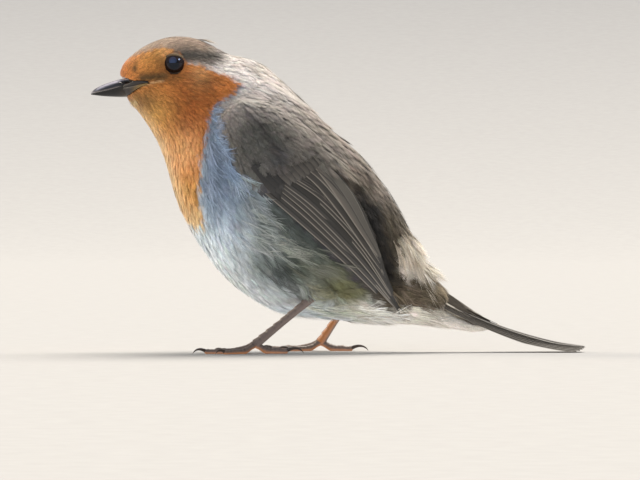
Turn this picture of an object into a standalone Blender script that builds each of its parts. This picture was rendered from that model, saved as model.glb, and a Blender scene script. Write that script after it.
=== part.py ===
"""A life-size European robin, standing with its body upright and its tail laid to the floor.

The bird faces -X, its left side is -Y and the floor is z = 0. The plumage is one lofted surface,
parted into head, neck, trunk, rump and tail coverts; wings, tail, bill, eyes, legs and claws are
pieces of their own. All sizes below are in millimetres and MM turns them into metres.
"""

import math

import bmesh
import bpy
from mathutils import Vector
from mathutils.bvhtree import BVHTree

MM = 0.001
GAP = 0.3  # between two pieces that meet
BESIDE_THE_BIRD = 60.0  # further out to the side than any of its pieces
FLOOR_BLOCK = (300.0, 200.0, 10.0)  # the cutter that lies under the floor

# The plumage, from the bill to the end of the tail coverts. Each station is a section plane across
# the bird: its place on the back line (x, z), its place on the belly line (x, z), its half width,
# and how far its widest part is lifted towards the back.
STATIONS = (
    # name, back line, belly line, half width, lift
    ("bill base", (-47.6, 73.5), (-45.9, 67.4), 2.7, 0.00),
    ("forehead", (-46.2, 76.8), (-43.9, 65.3), 4.8, 0.10),
    ("lores", (-40.9, 81.0), (-41.3, 62.0), 7.3, 0.18),
    ("crown", (-34.2, 83.4), (-39.0, 58.4), 8.8, 0.18),
    ("hindcrown", (-27.6, 82.9), (-37.3, 55.3), 9.6, 0.10),
    ("nape", (-21.9, 80.3), (-35.9, 51.9), 10.2, 0.00),
    ("neck", (-17.6, 78.3), (-34.7, 48.0), 11.4, -0.04),
    ("upper mantle", (-12.4, 77.2), (-33.6, 44.0), 13.4, -0.06),
    ("mantle", (-7.0, 73.6), (-32.3, 39.8), 15.6, -0.06),
    ("shoulders", (0.0, 66.9), (-30.0, 34.8), 17.6, -0.06),
    ("breast", (8.0, 59.0), (-26.0, 27.8), 19.0, -0.06),
    ("back", (15.1, 52.5), (-20.4, 20.6), 19.2, -0.08),
    ("flanks", (20.2, 46.8), (-14.0, 15.2), 18.4, -0.10),
    ("belly", (24.4, 40.6), (-6.4, 10.9), 16.4, -0.10),
    ("lower back", (27.6, 34.8), (2.0, 9.6), 13.6, -0.08),
    ("vent", (30.2, 29.4), (11.0, 8.6), 10.4, -0.04),
    ("rump", (32.6, 24.2), (20.0, 8.1), 7.8, 0.00),
    ("tail coverts", (36.0, 18.8), (28.5, 7.7), 5.9, 0.05),
    ("coverts' end", (39.6, 15.2), (35.6, 7.3), 4.9, 0.10),
)
# The coverts that go on under the tail, in the same way.
UNDERTAIL_STATIONS = (
    ("root", (38.2, 11.2), (36.3, 7.0), 4.3, -0.10),
    ("middle", (42.0, 9.2), (41.1, 6.4), 3.9, -0.10),
    ("thinning", (47.2, 6.8), (46.8, 5.3), 3.2, -0.10),
    ("end", (52.8, 4.6), (52.6, 3.9), 1.8, 0.00),
)
HEAD_ENDS, NECK_ENDS, TRUNK_ENDS, RUMP_ENDS = 5.0, 7.6, 13.5, 16.2
RING_POINTS = 28
RINGS_PER_STATION = {"head": 3, "neck": 2, "trunk": 2, "rump": 2, "tail_coverts": 2}
UNDERTAIL_RINGS = 2  # to each of its stations

EYE_CENTRE = (-33.0, 5.75, 76.2)
EYE_RADIUS = 3.4

# The bill: x along it, then the heights of its ridge, its cutting edge and its keel, and its half width.
BILL_STATIONS = (
    (-45.0, 73.1, 70.8, 67.7, 2.75),
    (-47.0, 72.7, 70.3, 67.65, 2.35),
    (-49.0, 72.15, 69.9, 67.6, 1.95),
    (-51.2, 71.3, 69.4, 67.7, 1.5),
    (-53.2, 70.3, 68.9, 67.75, 1.0),
    (-54.6, 69.3, 68.55, 67.95, 0.55),
    (-55.3, 68.65, 68.3, 68.05, 0.2),
)
BILL_ARC = 9  # points round each half of the bill
THINNEST_BILL = 0.12

# The folded wing seen from the side: its lower edge and its upper edge, from the wrist to the tip.
WING_STATIONS = (
    (0.00, (-20.6, 61.5), (-16.0, 66.0)),
    (0.12, (-19.6, 55.6), (-8.0, 64.0)),
    (0.26, (-15.8, 48.4), (1.0, 58.0)),
    (0.42, (-8.6, 40.6), (9.0, 50.0)),
    (0.56, (-0.4, 33.4), (14.6, 42.6)),
    (0.70, (8.2, 25.6), (18.8, 35.0)),
    (0.85, (17.8, 17.0), (22.2, 26.0)),
    (1.00, (27.4, 8.8), (28.0, 10.0)),
)
COVERTS_END = 0.42
PRIMARIES_WIDTH = 0.40  # of the wing's width, from its lower edge
SECONDARIES_END = 0.93
COVERT_THICKNESS, QUILL_THICKNESS, EDGE_THICKNESS = 2.6, 1.5, 0.6
QUILL_STEP = 0.3  # how far each flight feather stands above the next
MOST_THICKNESS = COVERT_THICKNESS + QUILL_STEP

TAIL_ROOT = (22.5, 23.2)
TAIL_LENGTH = 58.0
TAIL_DOWN_AT_ROOT, TAIL_DOWN_AT_TIP = 36.0, 9.0  # degrees below the horizon
TAIL_SHOWS_FROM = 17.0  # along its length, within the coverts
TAIL_THICKNESS = 0.7
OUTER_FEATHERS_SHORTER = 1.2
CENTRE_HALF_WIDTH, TAIL_HALF_WIDTH = (2.7, 3.6), (4.4, 6.4)  # at the coverts and near the tip
TAIL_ARCH = 0.055  # drop of the feathers for each square millimetre from the middle

# Each leg: where its heel is, inside the plumage, and where its toes meet. The left one is further forward.
LEGS = {
    "left": ((8.4, -13.4, 18.9), (-11.6, -12.4, 2.5)),
    "right": ((19.0, 6.4, 23.6), (5.6, 10.6, 2.5)),
}
THIGH_INSIDE, THIGH_OUTSIDE = 1.6, 3.2  # along the shank, either side of where it leaves the plumage
THIGH_RADIUS, CUFF_RADIUS = 3.6, 1.6
SHANK_RADIUS = 0.95
FOOT_RADIUS = 1.35
TOES = {
    # heading away from straight ahead in degrees, length, thickness and claw length
    "inner": (-30.0, 9.5, 0.85, 3.8),
    "middle": (0.0, 13.5, 0.9, 4.2),
    "outer": (30.0, 10.5, 0.8, 3.6),
    "hind": (176.0, 8.5, 0.95, 5.6),
}
FOOT_TURN = {"left": -8.0, "right": 10.0}  # how far each foot points outwards
TOE_HEIGHT = 0.8  # of a toe's own radius, so that its sole is a narrow flat
CLAW_BEND, CLAW_POINT_RADIUS = 62.0, 0.16

FINISHES = {
    "plumage_orange": ("#b9672b", 0.85),
    "plumage_brown": ("#6b6355", 0.85),
    "plumage_belly": ("#c9cbc4", 0.85),
    "quills": ("#55503f", 0.6),
    "bill": ("#2b2826", 0.35),
    "eye": ("#0b0a0a", 0.05),
    "legs": ("#5a4436", 0.5),
    "claws": ("#2a2320", 0.4),
}


def material(name):
    """A plain painted finish of that name."""
    found = bpy.data.materials.get(name)
    if found:
        return found
    colour, roughness = FINISHES[name]
    made = bpy.data.materials.new(name)
    made.use_nodes = True
    shader = made.node_tree.nodes["Principled BSDF"]
    rgb = [int(colour[i : i + 2], 16) / 255 for i in (1, 3, 5)]
    shader.inputs["Base Color"].default_value = (*(c**2.2 for c in rgb), 1)
    shader.inputs["Roughness"].default_value = roughness
    return made


def add(name, mesh, finish, collection):
    """An object of that mesh in that collection."""
    made = bpy.data.objects.new(name, mesh)
    collection.objects.link(made)
    if finish:
        mesh.materials.append(material(finish))
    return made


def helper(obj):
    """Marks a cutter, which shows as wire and isn't part of the bird."""
    obj.hide_render = True
    obj.display_type = "WIRE"
    return obj


def smooth(obj):
    obj.data.shade_smooth()
    obj.data.set_sharp_from_angle(angle=math.radians(50))
    return obj


def loft(name, rings, finish, collection):
    """A closed skin over rings of the same number of points, with a flat cap at each end."""
    count = len(rings[0])
    form = bmesh.new()
    rows = [[form.verts.new(point * MM) for point in ring] for ring in rings]
    for row, following in zip(rows, rows[1:]):
        for i in range(count):
            after = (i + 1) % count
            form.faces.new((row[i], row[after], following[after], following[i]))
    form.faces.new(reversed(rows[0]))
    form.faces.new(rows[-1])
    bmesh.ops.recalc_face_normals(form, faces=form.faces)
    mesh = bpy.data.meshes.new(name)
    form.to_mesh(mesh)
    form.free()
    return smooth(add(name, mesh, finish, collection))


def cubic(before, start, end, after, share):
    """A smooth curve from start to end, heading as its neighbours say."""
    square, cube = share * share, share**3
    return (
        start
        + 0.5 * share * (end - before)
        + square * (before - 2.5 * start + 2 * end - 0.5 * after)
        + cube * (1.5 * (start - end) + 0.5 * (after - before))
    )


def between(rows, place):
    """A row of numbers, read smoothly between the rows on either side of a place."""
    first = min(int(place), len(rows) - 2)
    near = [rows[min(max(first + k, 0), len(rows) - 1)] for k in (-1, 0, 1, 2)]
    return [cubic(*values, place - first) for values in zip(*near)]


def section(stations, place, outwards=0.0, along=0.0):
    """The section at a place along those stations, grown outwards and moved along the bird."""
    rows = [(*back, *belly, width, lift) for _, back, belly, width, lift in stations]
    back_x, back_z, belly_x, belly_z, width, lift = between(rows, place)
    middle = Vector((back_x + belly_x, 0, back_z + belly_z)) / 2
    up = Vector((back_x - belly_x, 0, back_z - belly_z)) / 2
    height = up.length + outwards
    up.normalize()
    across = up.cross(Vector((0, 1, 0)))
    ring = []
    for i in range(RING_POINTS):
        angle = 2 * math.pi * i / RING_POINTS
        side = (width + outwards) * math.sin(angle) * (1 + lift * math.cos(angle))
        ring.append(middle + up * height * math.cos(angle) + Vector((0, side, 0)) - across * along)
    return ring


def body_rings(start, end, per_station, outwards=0.0, along=0.0):
    """Sections from one place to another. The two end ones are moved inwards by along."""
    count = max(2, round((end - start) * per_station))
    rings = []
    for i in range(count + 1):
        shift = along if i == 0 else -along if i == count else 0.0
        rings.append(section(STATIONS, start + (end - start) * i / count, outwards, shift))
    return rings


def build_body(birds, cutters):
    """Head, neck, trunk, rump and tail coverts, parted by thin flat gaps, and the eye sockets."""
    last = len(STATIONS) - 1
    spans = {
        "head": (0, HEAD_ENDS, "plumage_orange"),
        "neck": (HEAD_ENDS, NECK_ENDS, "plumage_orange"),
        "trunk": (NECK_ENDS, TRUNK_ENDS, "plumage_belly"),
        "rump": (TRUNK_ENDS, RUMP_ENDS, "plumage_belly"),
        "tail_coverts": (RUMP_ENDS, last, "plumage_brown"),
    }
    parts = {}
    for name, (start, end, finish) in spans.items():
        rings = body_rings(start, end, RINGS_PER_STATION[name], along=GAP / 2)
        parts[name] = loft(name, rings, finish, birds)
    count = UNDERTAIL_RINGS * (len(UNDERTAIL_STATIONS) - 1)
    rings = [section(UNDERTAIL_STATIONS, i / UNDERTAIL_RINGS) for i in range(count + 1)]
    loft("undertail_coverts", rings, "plumage_belly", birds)
    for side, sign in (("left", -1), ("right", 1)):
        socket = ball(f"socket_{side}", mirrored(EYE_CENTRE, sign), EYE_RADIUS + GAP, cutters)
        cut_by(parts["head"], helper(socket))


def mirrored(point, sign):
    """A point given for the right side (+Y), on the side of that sign."""
    return Vector((point[0], sign * point[1], point[2]))


def ball(name, centre, radius, collection, finish=None, segments=16, rings=10):
    form = bmesh.new()
    bmesh.ops.create_uvsphere(form, u_segments=segments, v_segments=rings, radius=radius * MM)
    mesh = bpy.data.meshes.new(name)
    form.to_mesh(mesh)
    form.free()
    made = add(name, mesh, finish, collection)
    made.location = centre * MM
    made.rotation_euler = (math.pi / 2, 0, 0)
    return smooth(made)


def build_eyes(birds):
    for side, sign in (("left", -1), ("right", 1)):
        ball(f"eye_{side}", mirrored(EYE_CENTRE, sign), EYE_RADIUS, birds, "eye")


def cut_by(obj, cutter):
    """Takes a cutter's shape out of an object."""
    cut = obj.modifiers.new(cutter.name, "BOOLEAN")
    cut.operation = "DIFFERENCE"
    cut.object = cutter


def build_bill(birds, plumage):
    """The two halves of the bill, which meet along the cutting edge."""
    per_station = 2
    upper, lower = [], []
    for i in range(per_station * (len(BILL_STATIONS) - 1) + 1):
        x, ridge, edge, keel, width = between(BILL_STATIONS, i / per_station)
        for rings, reach, sign in ((upper, ridge - edge, 1), (lower, edge - keel, -1)):
            base = edge + sign * GAP / 2
            depth = max(reach - GAP / 2, THINNEST_BILL)
            ring = []
            for k in range(BILL_ARC):
                angle = math.pi * k / (BILL_ARC - 1)
                height = depth * math.sin(angle) ** 0.8
                ring.append(Vector((x, width * math.cos(angle), base + sign * height)))
            ring += [Vector((x, width * share, base)) for share in (-0.5, 0.5)]
            rings.append(ring)
    for name, rings in (("bill_upper", upper), ("bill_lower", lower)):
        cut_by(loft(name, rings, "bill", birds), plumage)


def body_surface():
    """The plumage as a tree that rays can be cast at, in millimetres."""
    rings = body_rings(0, len(STATIONS) - 1, 3)
    corners = [point for ring in rings for point in ring]
    faces = []
    for row in range(len(rings) - 1):
        for i in range(RING_POINTS):
            after = (i + 1) % RING_POINTS
            at, beyond = row * RING_POINTS, (row + 1) * RING_POINTS
            faces.append((at + i, at + after, beyond + after, beyond + i))
    return BVHTree.FromPolygons(corners, faces)


def wing_place(along, across):
    """The (x, z) of a point of the folded wing, seen from the side."""
    stops = [row[0] for row in WING_STATIONS]
    after = next((k for k, stop in enumerate(stops) if stop >= along), len(stops) - 1)
    first = max(after - 1, 0)
    step = stops[first + 1] - stops[first]
    rows = [(*lower, *upper) for _, lower, upper in WING_STATIONS]
    low_x, low_z, high_x, high_z = between(rows, first + (along - stops[first]) / step)
    return low_x + (high_x - low_x) * across, low_z + (high_z - low_z) * across


def wing_thickness(along, across, quills):
    """How thick the wing is at a place on it, in millimetres."""
    middle = math.sin(math.pi * min(max(across, 0.0), 1.0)) ** 0.5
    if not quills:
        start = math.sin(math.pi / 2 * min(1.0, 0.25 + along / COVERTS_END))
        return EDGE_THICKNESS + (COVERT_THICKNESS - EDGE_THICKNESS) * middle * start
    towards_tip = (along - COVERTS_END) / (1 - COVERTS_END)
    body = QUILL_THICKNESS * (1 - 0.45 * towards_tip)
    return EDGE_THICKNESS + (body - EDGE_THICKNESS) * middle + QUILL_STEP * quills


def wing_sheet(name, surface, sign, span, width, rows, columns, ridged):
    """Part of the folded wing: a sheet laid on the plumage, and thickened away from it."""
    form = bmesh.new()
    grid, shares = [], []
    for i in range(rows + 1):
        along = span[0] + (span[1] - span[0]) * i / rows
        line = []
        for k in range(columns + 1):
            across = width[0] + (width[1] - width[0]) * k / columns
            x, z = wing_place(along, across)
            hit, normal, _, _ = surface.ray_cast(Vector((x, sign * BESIDE_THE_BIRD, z)), Vector((0, -sign, 0)))
            if normal.y * sign < 0:
                normal = -normal
            line.append(form.verts.new((hit + normal * GAP * 1.2) * MM))
            quill = (1 + (k % 2)) / 2 if ridged else 0
            shares.append(wing_thickness(along, across, quill) / MOST_THICKNESS)
        grid.append(line)
    for row, following in zip(grid, grid[1:]):
        for k in range(columns):
            corners = (row[k], row[k + 1], following[k + 1], following[k])
            form.faces.new(corners if sign > 0 else reversed(corners))
    return form, shares


def thicken(form, shares, name, finish, thickness, collection):
    """A solid from an open sheet, each point by its own share of the thickness."""
    mesh = bpy.data.meshes.new(name)
    form.to_mesh(mesh)
    form.free()
    made = add(name, mesh, finish, collection)
    group = made.vertex_groups.new(name="thickness")
    for index, share in enumerate(shares):
        group.add([index], share, "REPLACE")
    solid = made.modifiers.new("Thickness", "SOLIDIFY")
    solid.thickness = thickness * MM
    solid.offset = 1.0
    solid.vertex_group = group.name
    return smooth(made)


def build_wings(birds):
    surface = body_surface()
    gap_along, gap_across = 0.006, 0.02
    panels = {
        "coverts": ((0.0, COVERTS_END - gap_along), (0.0, 1.0), 8, 8, False),
        "primaries": ((COVERTS_END, 1.0), (0.0, PRIMARIES_WIDTH - gap_across), 12, 6, True),
        "secondaries": (
            (COVERTS_END, SECONDARIES_END),
            (PRIMARIES_WIDTH + gap_across, 1.0),
            10,
            8,
            True,
        ),
    }
    for side, sign in (("left", -1), ("right", 1)):
        for panel, (span, width, rows, columns, ridged) in panels.items():
            name = f"wing_{side}_{panel}"
            form, shares = wing_sheet(name, surface, sign, span, width, rows, columns, ridged)
            finish = "quills" if ridged else "plumage_brown"
            thicken(form, shares, name, finish, MOST_THICKNESS, birds)


def tail_line(distance):
    """The tail's upper middle line at a distance from its root: its place and which way is up."""
    steps = 24
    place, down = Vector((TAIL_ROOT[0], 0, TAIL_ROOT[1])), 0.0
    for i in range(steps):
        share = distance / TAIL_LENGTH * (i + 0.5) / steps
        down = math.radians(TAIL_DOWN_AT_ROOT + (TAIL_DOWN_AT_TIP - TAIL_DOWN_AT_ROOT) * share)
        place += Vector((math.cos(down), 0, -math.sin(down))) * distance / steps
    return place, Vector((math.sin(down), 0, math.cos(down)))


def build_tail(birds, floor, plumage):
    """The central pair of tail feathers, and the closed stack of outer ones under each side."""
    rows, columns = 10, 4
    for name, side in (("tail_centre", 0), ("tail_left", -1), ("tail_right", 1)):
        form, grid = bmesh.new(), []
        for i in range(rows + 1):
            share = i / rows
            reach = TAIL_LENGTH - (OUTER_FEATHERS_SHORTER if side else 0.0)
            place, up = tail_line(TAIL_SHOWS_FROM + (reach - TAIL_SHOWS_FROM) * share)
            inner = 0.5 * GAP
            outer = TAIL_HALF_WIDTH[0] + (TAIL_HALF_WIDTH[1] - TAIL_HALF_WIDTH[0]) * share
            if side == 0:
                outer = CENTRE_HALF_WIDTH[0] + (CENTRE_HALF_WIDTH[1] - CENTRE_HALF_WIDTH[0]) * share
                inner = -outer
            rounding = 1 - 0.3 * max(0.0, (share - 0.85) / 0.15) ** 2
            line = []
            for k in range(columns + 1):
                y = (inner + (outer * rounding - inner) * k / columns) * (side or rounding)
                drop = TAIL_ARCH * y * y * 0.5 + (TAIL_THICKNESS + GAP if side else 0.0)
                line.append(form.verts.new((place - up * drop + Vector((0, y, 0))) * MM))
            grid.append(line)
        for row, following in zip(grid, grid[1:]):
            for k in range(columns):
                corners = (row[k], row[k + 1], following[k + 1], following[k])
                form.faces.new(corners if side >= 0 else reversed(corners))
        made = thicken(form, [1.0] * len(form.verts), name, "quills", TAIL_THICKNESS, birds)
        made.modifiers["Thickness"].offset = -1.0
        cut_by(made, plumage)
        cut_by(made, floor)


def floor_block(cutters):
    """A block whose top is the floor, which leaves a flat on whatever reaches down to it."""
    form = bmesh.new()
    bmesh.ops.create_cube(form, size=1.0)
    mesh = bpy.data.meshes.new("floor_block")
    form.to_mesh(mesh)
    form.free()
    made = add("floor_block", mesh, None, cutters)
    made.scale = Vector(FLOOR_BLOCK) * MM
    made.location = (0, 0, -FLOOR_BLOCK[2] / 2 * MM)
    return helper(made)


def tube(name, points, radii, finish, collection, roundness=2):
    """A round rod through those points, as thick at each as its radius says, as a closed mesh."""
    curve = bpy.data.curves.new(name, "CURVE")
    curve.dimensions = "3D"
    curve.bevel_depth = MM
    curve.bevel_resolution = roundness
    curve.use_fill_caps = True
    spline = curve.splines.new("POLY")
    spline.points.add(len(points) - 1)
    for target, point, radius in zip(spline.points, points, radii):
        target.co = (*(point * MM), 1)
        target.radius = radius
    drawn = bpy.data.objects.new(name + "_line", curve)
    collection.objects.link(drawn)
    graph = bpy.context.evaluated_depsgraph_get()
    mesh = bpy.data.meshes.new_from_object(drawn.evaluated_get(graph))
    bpy.data.objects.remove(drawn)
    mesh.name = name
    form = bmesh.new()
    form.from_mesh(mesh)
    bmesh.ops.remove_doubles(form, verts=form.verts, dist=0.01 * MM)
    bmesh.ops.recalc_face_normals(form, faces=form.faces)
    form.to_mesh(mesh)
    form.free()
    return smooth(add(name, mesh, finish, collection))


def toe_line(joint, heading, length, radius):
    """A toe's middle line: down from the joint in a low arch, then flat along the floor."""
    ahead = Vector((-math.cos(heading), -math.sin(heading), 0))
    rest, steps = TOE_HEIGHT * radius, 8
    points, radii = [], []
    for i in range(steps + 1):
        share = i / steps
        height = rest + (joint.z - rest) * max(0.0, 1 - share / 0.4) ** 1.6
        points.append(Vector((joint.x, joint.y, height)) + ahead * length * share)
        knuckle = 1 + 0.10 * math.cos(2 * math.pi * 3 * share)
        radii.append(radius * (1 - 0.28 * share) * knuckle)
    points[-1].z = TOE_HEIGHT * radii[-1]
    return points, radii, ahead


def claw_line(start, ahead, length, radius):
    """A claw's middle line, which leaves the toe level and curves down to its point."""
    steps, bend = 6, math.radians(CLAW_BEND)
    points, radii = [], []
    for i in range(steps + 1):
        share = i / steps
        turn = bend * share
        reach = math.sin(turn) / bend * length
        drop = (1 - math.cos(turn)) / bend * length
        points.append(start + ahead * reach - Vector((0, 0, drop)))
        radii.append(max(radius * (1 - share) ** 0.8, CLAW_POINT_RADIUS))
    lift = radii[-1] - points[-1].z
    for i, point in enumerate(points):
        point.z += lift * i / steps
    return points, radii


def build_foot(side, joint, birds, cutters, floor):
    """The foot with its four toes joined, and the four claws."""
    sign = -1 if side == "left" else 1
    foot = ball(f"foot_{side}", joint, FOOT_RADIUS, birds, "legs", 12, 8)
    for toe, (heading, length, radius, claw) in TOES.items():
        turn = math.radians(-sign * (heading + FOOT_TURN[side] * sign))
        points, radii, ahead = toe_line(joint, turn, length, radius)
        part = helper(tube(f"toe_{side}_{toe}", points, radii, None, cutters))
        join = foot.modifiers.new(toe, "BOOLEAN")
        join.operation = "UNION"
        join.object = part
        nail_start = points[-1] + ahead * GAP
        nail_start.z = max(nail_start.z, radii[-1] * 0.9)
        nail_points, nail_radii = claw_line(nail_start, ahead, claw, radii[-1] * 0.8)
        nail = tube(f"claw_{side}_{toe}", nail_points, nail_radii, "claws", birds, roundness=1)
        cut_by(nail, floor)
    cut_by(foot, floor)


def plumage_cutter(cutters):
    """The whole plumage, grown by the gap that pieces keep from it."""
    rings = body_rings(0, len(STATIONS) - 1, 2, outwards=GAP, along=-GAP)
    return helper(loft("plumage_cutter", rings, None, cutters))


def build_legs(birds, cutters, floor, plumage):
    """The feathered cuff of each thigh, the bare shank and the foot."""
    surface = body_surface()
    for side, (heel, joint) in LEGS.items():
        heel, joint = Vector(heel), Vector(joint)
        down = (joint - heel).normalized()
        skin, _, _, _ = surface.ray_cast(joint, -down)
        steps = 6
        reach = THIGH_INSIDE + THIGH_OUTSIDE
        cuff = [skin + down * (reach * i / steps - THIGH_INSIDE) for i in range(steps + 1)]
        widths = [THIGH_RADIUS + (CUFF_RADIUS - THIGH_RADIUS) * i / steps for i in range(steps + 1)]
        cut_by(tube(f"thigh_{side}", cuff, widths, "plumage_belly", birds), plumage)
        top, low = cuff[-1] + down * GAP, joint - down * (FOOT_RADIUS + GAP)
        points = [top.lerp(low, i / steps) for i in range(steps + 1)]
        radii = [SHANK_RADIUS * (1 + 1.2 * (i / steps - 0.45) ** 2) for i in range(steps + 1)]
        tube(f"shank_{side}", points, radii, "legs", birds)
        build_foot(side, joint, birds, cutters, floor)


def main():
    for obj in list(bpy.data.objects):
        bpy.data.objects.remove(obj)
    birds = bpy.data.collections.new("robin")
    cutters = bpy.data.collections.new("cutters")
    for collection in (birds, cutters):
        bpy.context.scene.collection.children.link(collection)
    floor, plumage = floor_block(cutters), plumage_cutter(cutters)
    build_body(birds, cutters)
    build_eyes(birds)
    build_bill(birds, plumage)
    build_wings(birds)
    build_tail(birds, floor, plumage)
    build_legs(birds, cutters, floor, plumage)

    # The middle of the length, from the bill's tip to the tail's, comes to the origin.
    tail_tip, _ = tail_line(TAIL_LENGTH)
    robin = bpy.data.objects.new("robin", None)
    birds.objects.link(robin)
    for obj in (*birds.objects, *cutters.objects):
        if obj is not robin:
            obj.parent = robin
    robin.location.x = -(BILL_STATIONS[-1][0] + tail_tip.x) / 2 * MM


main()
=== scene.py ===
# %% [markdown]
# # A European robin, life size, feather by feather
#
# A museum model of a small bird is mostly feathers. A robin is about 14 cm long and weighs 18 g, but
# the body under the feathers is only the size of a walnut: the plump outline belongs to the plumage.
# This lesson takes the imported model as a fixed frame, lays one skin inside it, and grows the plumage
# on that skin as solid mesh, from the tiny bristles of the face to the long feathers of wing and tail.
#
# The bird faces -X, its left side is -Y, and it stands on the floor at z = 0.

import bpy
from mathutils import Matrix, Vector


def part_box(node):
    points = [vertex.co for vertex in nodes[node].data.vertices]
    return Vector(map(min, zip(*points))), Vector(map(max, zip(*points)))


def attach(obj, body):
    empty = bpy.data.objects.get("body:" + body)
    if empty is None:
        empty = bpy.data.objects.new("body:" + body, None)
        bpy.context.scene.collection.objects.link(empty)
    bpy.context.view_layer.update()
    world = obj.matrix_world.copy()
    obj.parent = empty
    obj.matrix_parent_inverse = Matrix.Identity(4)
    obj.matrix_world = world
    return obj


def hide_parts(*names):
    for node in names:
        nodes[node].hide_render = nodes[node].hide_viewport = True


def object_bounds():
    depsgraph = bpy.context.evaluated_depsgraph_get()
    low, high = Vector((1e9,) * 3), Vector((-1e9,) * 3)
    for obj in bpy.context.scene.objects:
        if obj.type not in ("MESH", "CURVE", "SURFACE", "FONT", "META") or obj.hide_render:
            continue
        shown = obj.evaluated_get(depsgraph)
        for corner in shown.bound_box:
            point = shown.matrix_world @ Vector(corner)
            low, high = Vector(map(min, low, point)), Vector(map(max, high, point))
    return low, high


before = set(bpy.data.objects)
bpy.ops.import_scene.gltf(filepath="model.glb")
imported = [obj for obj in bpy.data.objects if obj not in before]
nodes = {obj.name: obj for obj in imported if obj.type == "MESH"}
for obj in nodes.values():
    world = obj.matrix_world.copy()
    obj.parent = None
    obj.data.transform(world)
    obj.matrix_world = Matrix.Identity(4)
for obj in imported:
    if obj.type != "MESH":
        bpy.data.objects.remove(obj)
cad_low, cad_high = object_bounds()
print("nodes in the frame:", len(nodes))

# %% Tools of the trade
import math

import bmesh
import bpy
import numpy as np
from mathutils import Vector
from mathutils.bvhtree import BVHTree
from mathutils.kdtree import KDTree

MM = 0.001  # every size below is in millimetres
rng = np.random.default_rng(7)
size_mm = [round((high - low) / MM, 1) for low, high in zip(cad_low, cad_high)]
print("the frame measures", size_mm, "mm")

# %% [markdown]
# ## Small helpers
#
# Colours are written as the sRGB hex values of a paint chart, and one function turns them into the
# linear values that Blender mixes. Others add a shader node in one line, and the surface in which most
# materials here end. Meshes are made from whole arrays, which is much quicker than one by one: the
# plumage has more than two million vertices.

# %% Colour and shader nodes


def hex_to_linear(code):
    """An sRGB hex colour as three linear values."""
    values = np.array([int(code[i : i + 2], 16) / 255 for i in (1, 3, 5)])
    return np.where(values <= 0.04045, values / 12.92, ((values + 0.055) / 1.055) ** 2.4)


def add_node(tree, kind, settings=None, links=None):
    """A shader node. Settings are properties or input values, and links are what feeds its inputs."""
    node = tree.nodes.new("ShaderNode" + kind)
    for name, value in (settings or {}).items():
        if isinstance(name, int) or name in node.inputs:
            node.inputs[name].default_value = value
        else:
            setattr(node, name, value)
    for name, source in (links or {}).items():
        tree.links.new(source, node.inputs[name])
    return node


def new_material(name):
    """An empty material, its node tree and its output node."""
    made = bpy.data.materials.new(name)
    made.use_nodes = True
    made.node_tree.nodes.clear()
    return made, made.node_tree, made.node_tree.nodes.new("ShaderNodeOutputMaterial")


def lay_surface(tree, out, colour, shade, settings, normal=None):
    """Gives a material its surface. The shade, if there is one, makes its colour lighter or darker."""
    links = {"Base Color": colour}
    if shade is not None:
        feeds = {"Vector": colour, "Scale": shade}
        links["Base Color"] = add_node(tree, "VectorMath", {"operation": "SCALE"}, feeds).outputs[0]
    if normal is not None:
        links["Normal"] = normal
    surface = add_node(tree, "BsdfPrincipled", settings, links)
    tree.links.new(surface.outputs[0], out.inputs["Surface"])


print("mid grey in linear values:", hex_to_linear("#808080").round(3))

# %% Meshes and small sums


def new_object(name, data):
    """An object that shows this mesh, camera or light."""
    made = bpy.data.objects.new(name, data)
    bpy.context.scene.collection.objects.link(made)
    return made


def mesh_object(name, points, faces, material):
    """A smooth object from points in millimetres, and faces that all have as many corners."""
    points, faces = np.asarray(points, np.float32) * MM, np.asarray(faces, np.int32)
    mesh = bpy.data.meshes.new(name)
    mesh.vertices.add(len(points))
    mesh.vertices.foreach_set("co", points.ravel())
    mesh.loops.add(faces.size)
    mesh.loops.foreach_set("vertex_index", faces.ravel())
    mesh.polygons.add(len(faces))
    mesh.polygons.foreach_set("loop_start", np.arange(0, faces.size, faces.shape[1], dtype=np.int32))
    mesh.update(calc_edges=True)
    mesh.shade_smooth()
    mesh.materials.append(material)
    return new_object(name, mesh)


def joined(parts):
    """Several meshes as one: all points, the faces renumbered, and what else there is for each point."""
    points, faces, *others = zip(*parts)
    starts = np.cumsum([0] + [len(some) for some in points[:-1]])
    faces = np.vstack([some + start for some, start in zip(faces, starts)])
    return np.vstack(points), faces, *(np.concatenate(other) for other in others)


def unit(vectors):
    """Each vector at length 1."""
    return vectors / np.maximum(np.linalg.norm(vectors, axis=-1, keepdims=True), 1e-9)


def pointing(degrees):
    """A direction in side view, that many degrees above the level line towards the tail."""
    return math.cos(math.radians(degrees)), 0, math.sin(math.radians(degrees))


def distances_along(line):
    """How far each point of a line is from its start, measured along it."""
    return np.concatenate([[0], np.cumsum(np.linalg.norm(np.diff(line, axis=0), axis=1))])


def on_one_side(points):
    """The points with those of the right side mirrored to the left."""
    return np.column_stack([points[:, 0], -np.abs(points[:, 1]), points[:, 2]])


def ease(low, high, values):
    """0 below low, 1 above high, and a smooth step between."""
    share = np.clip((values - low) / (high - low), 0, 1)
    return share * share * (3 - 2 * share)


print("a smooth step:", ease(0, 1, np.linspace(0, 1, 5)))

# %% [markdown]
# ## Camera, floor and light
#
# The bird is seen in pure profile from its left through a long lens, level with its belly, which keeps
# feet and tail in their true proportions. The floor curves up far away, so that no horizon shows.
#
# A small bird outdoors is lit by patches of sky, so each light comes from far away and spans tens of
# degrees, which keeps every shadow soft. The strongest is above and behind and gives the pale rim along
# the back. A lower one ahead lights the breast, a weak blue one opens the shaded side, and a glow from
# below stands in for the light that a pale table throws back. The floor casts no shadow, or that glow
# would never reach the bird.

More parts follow.
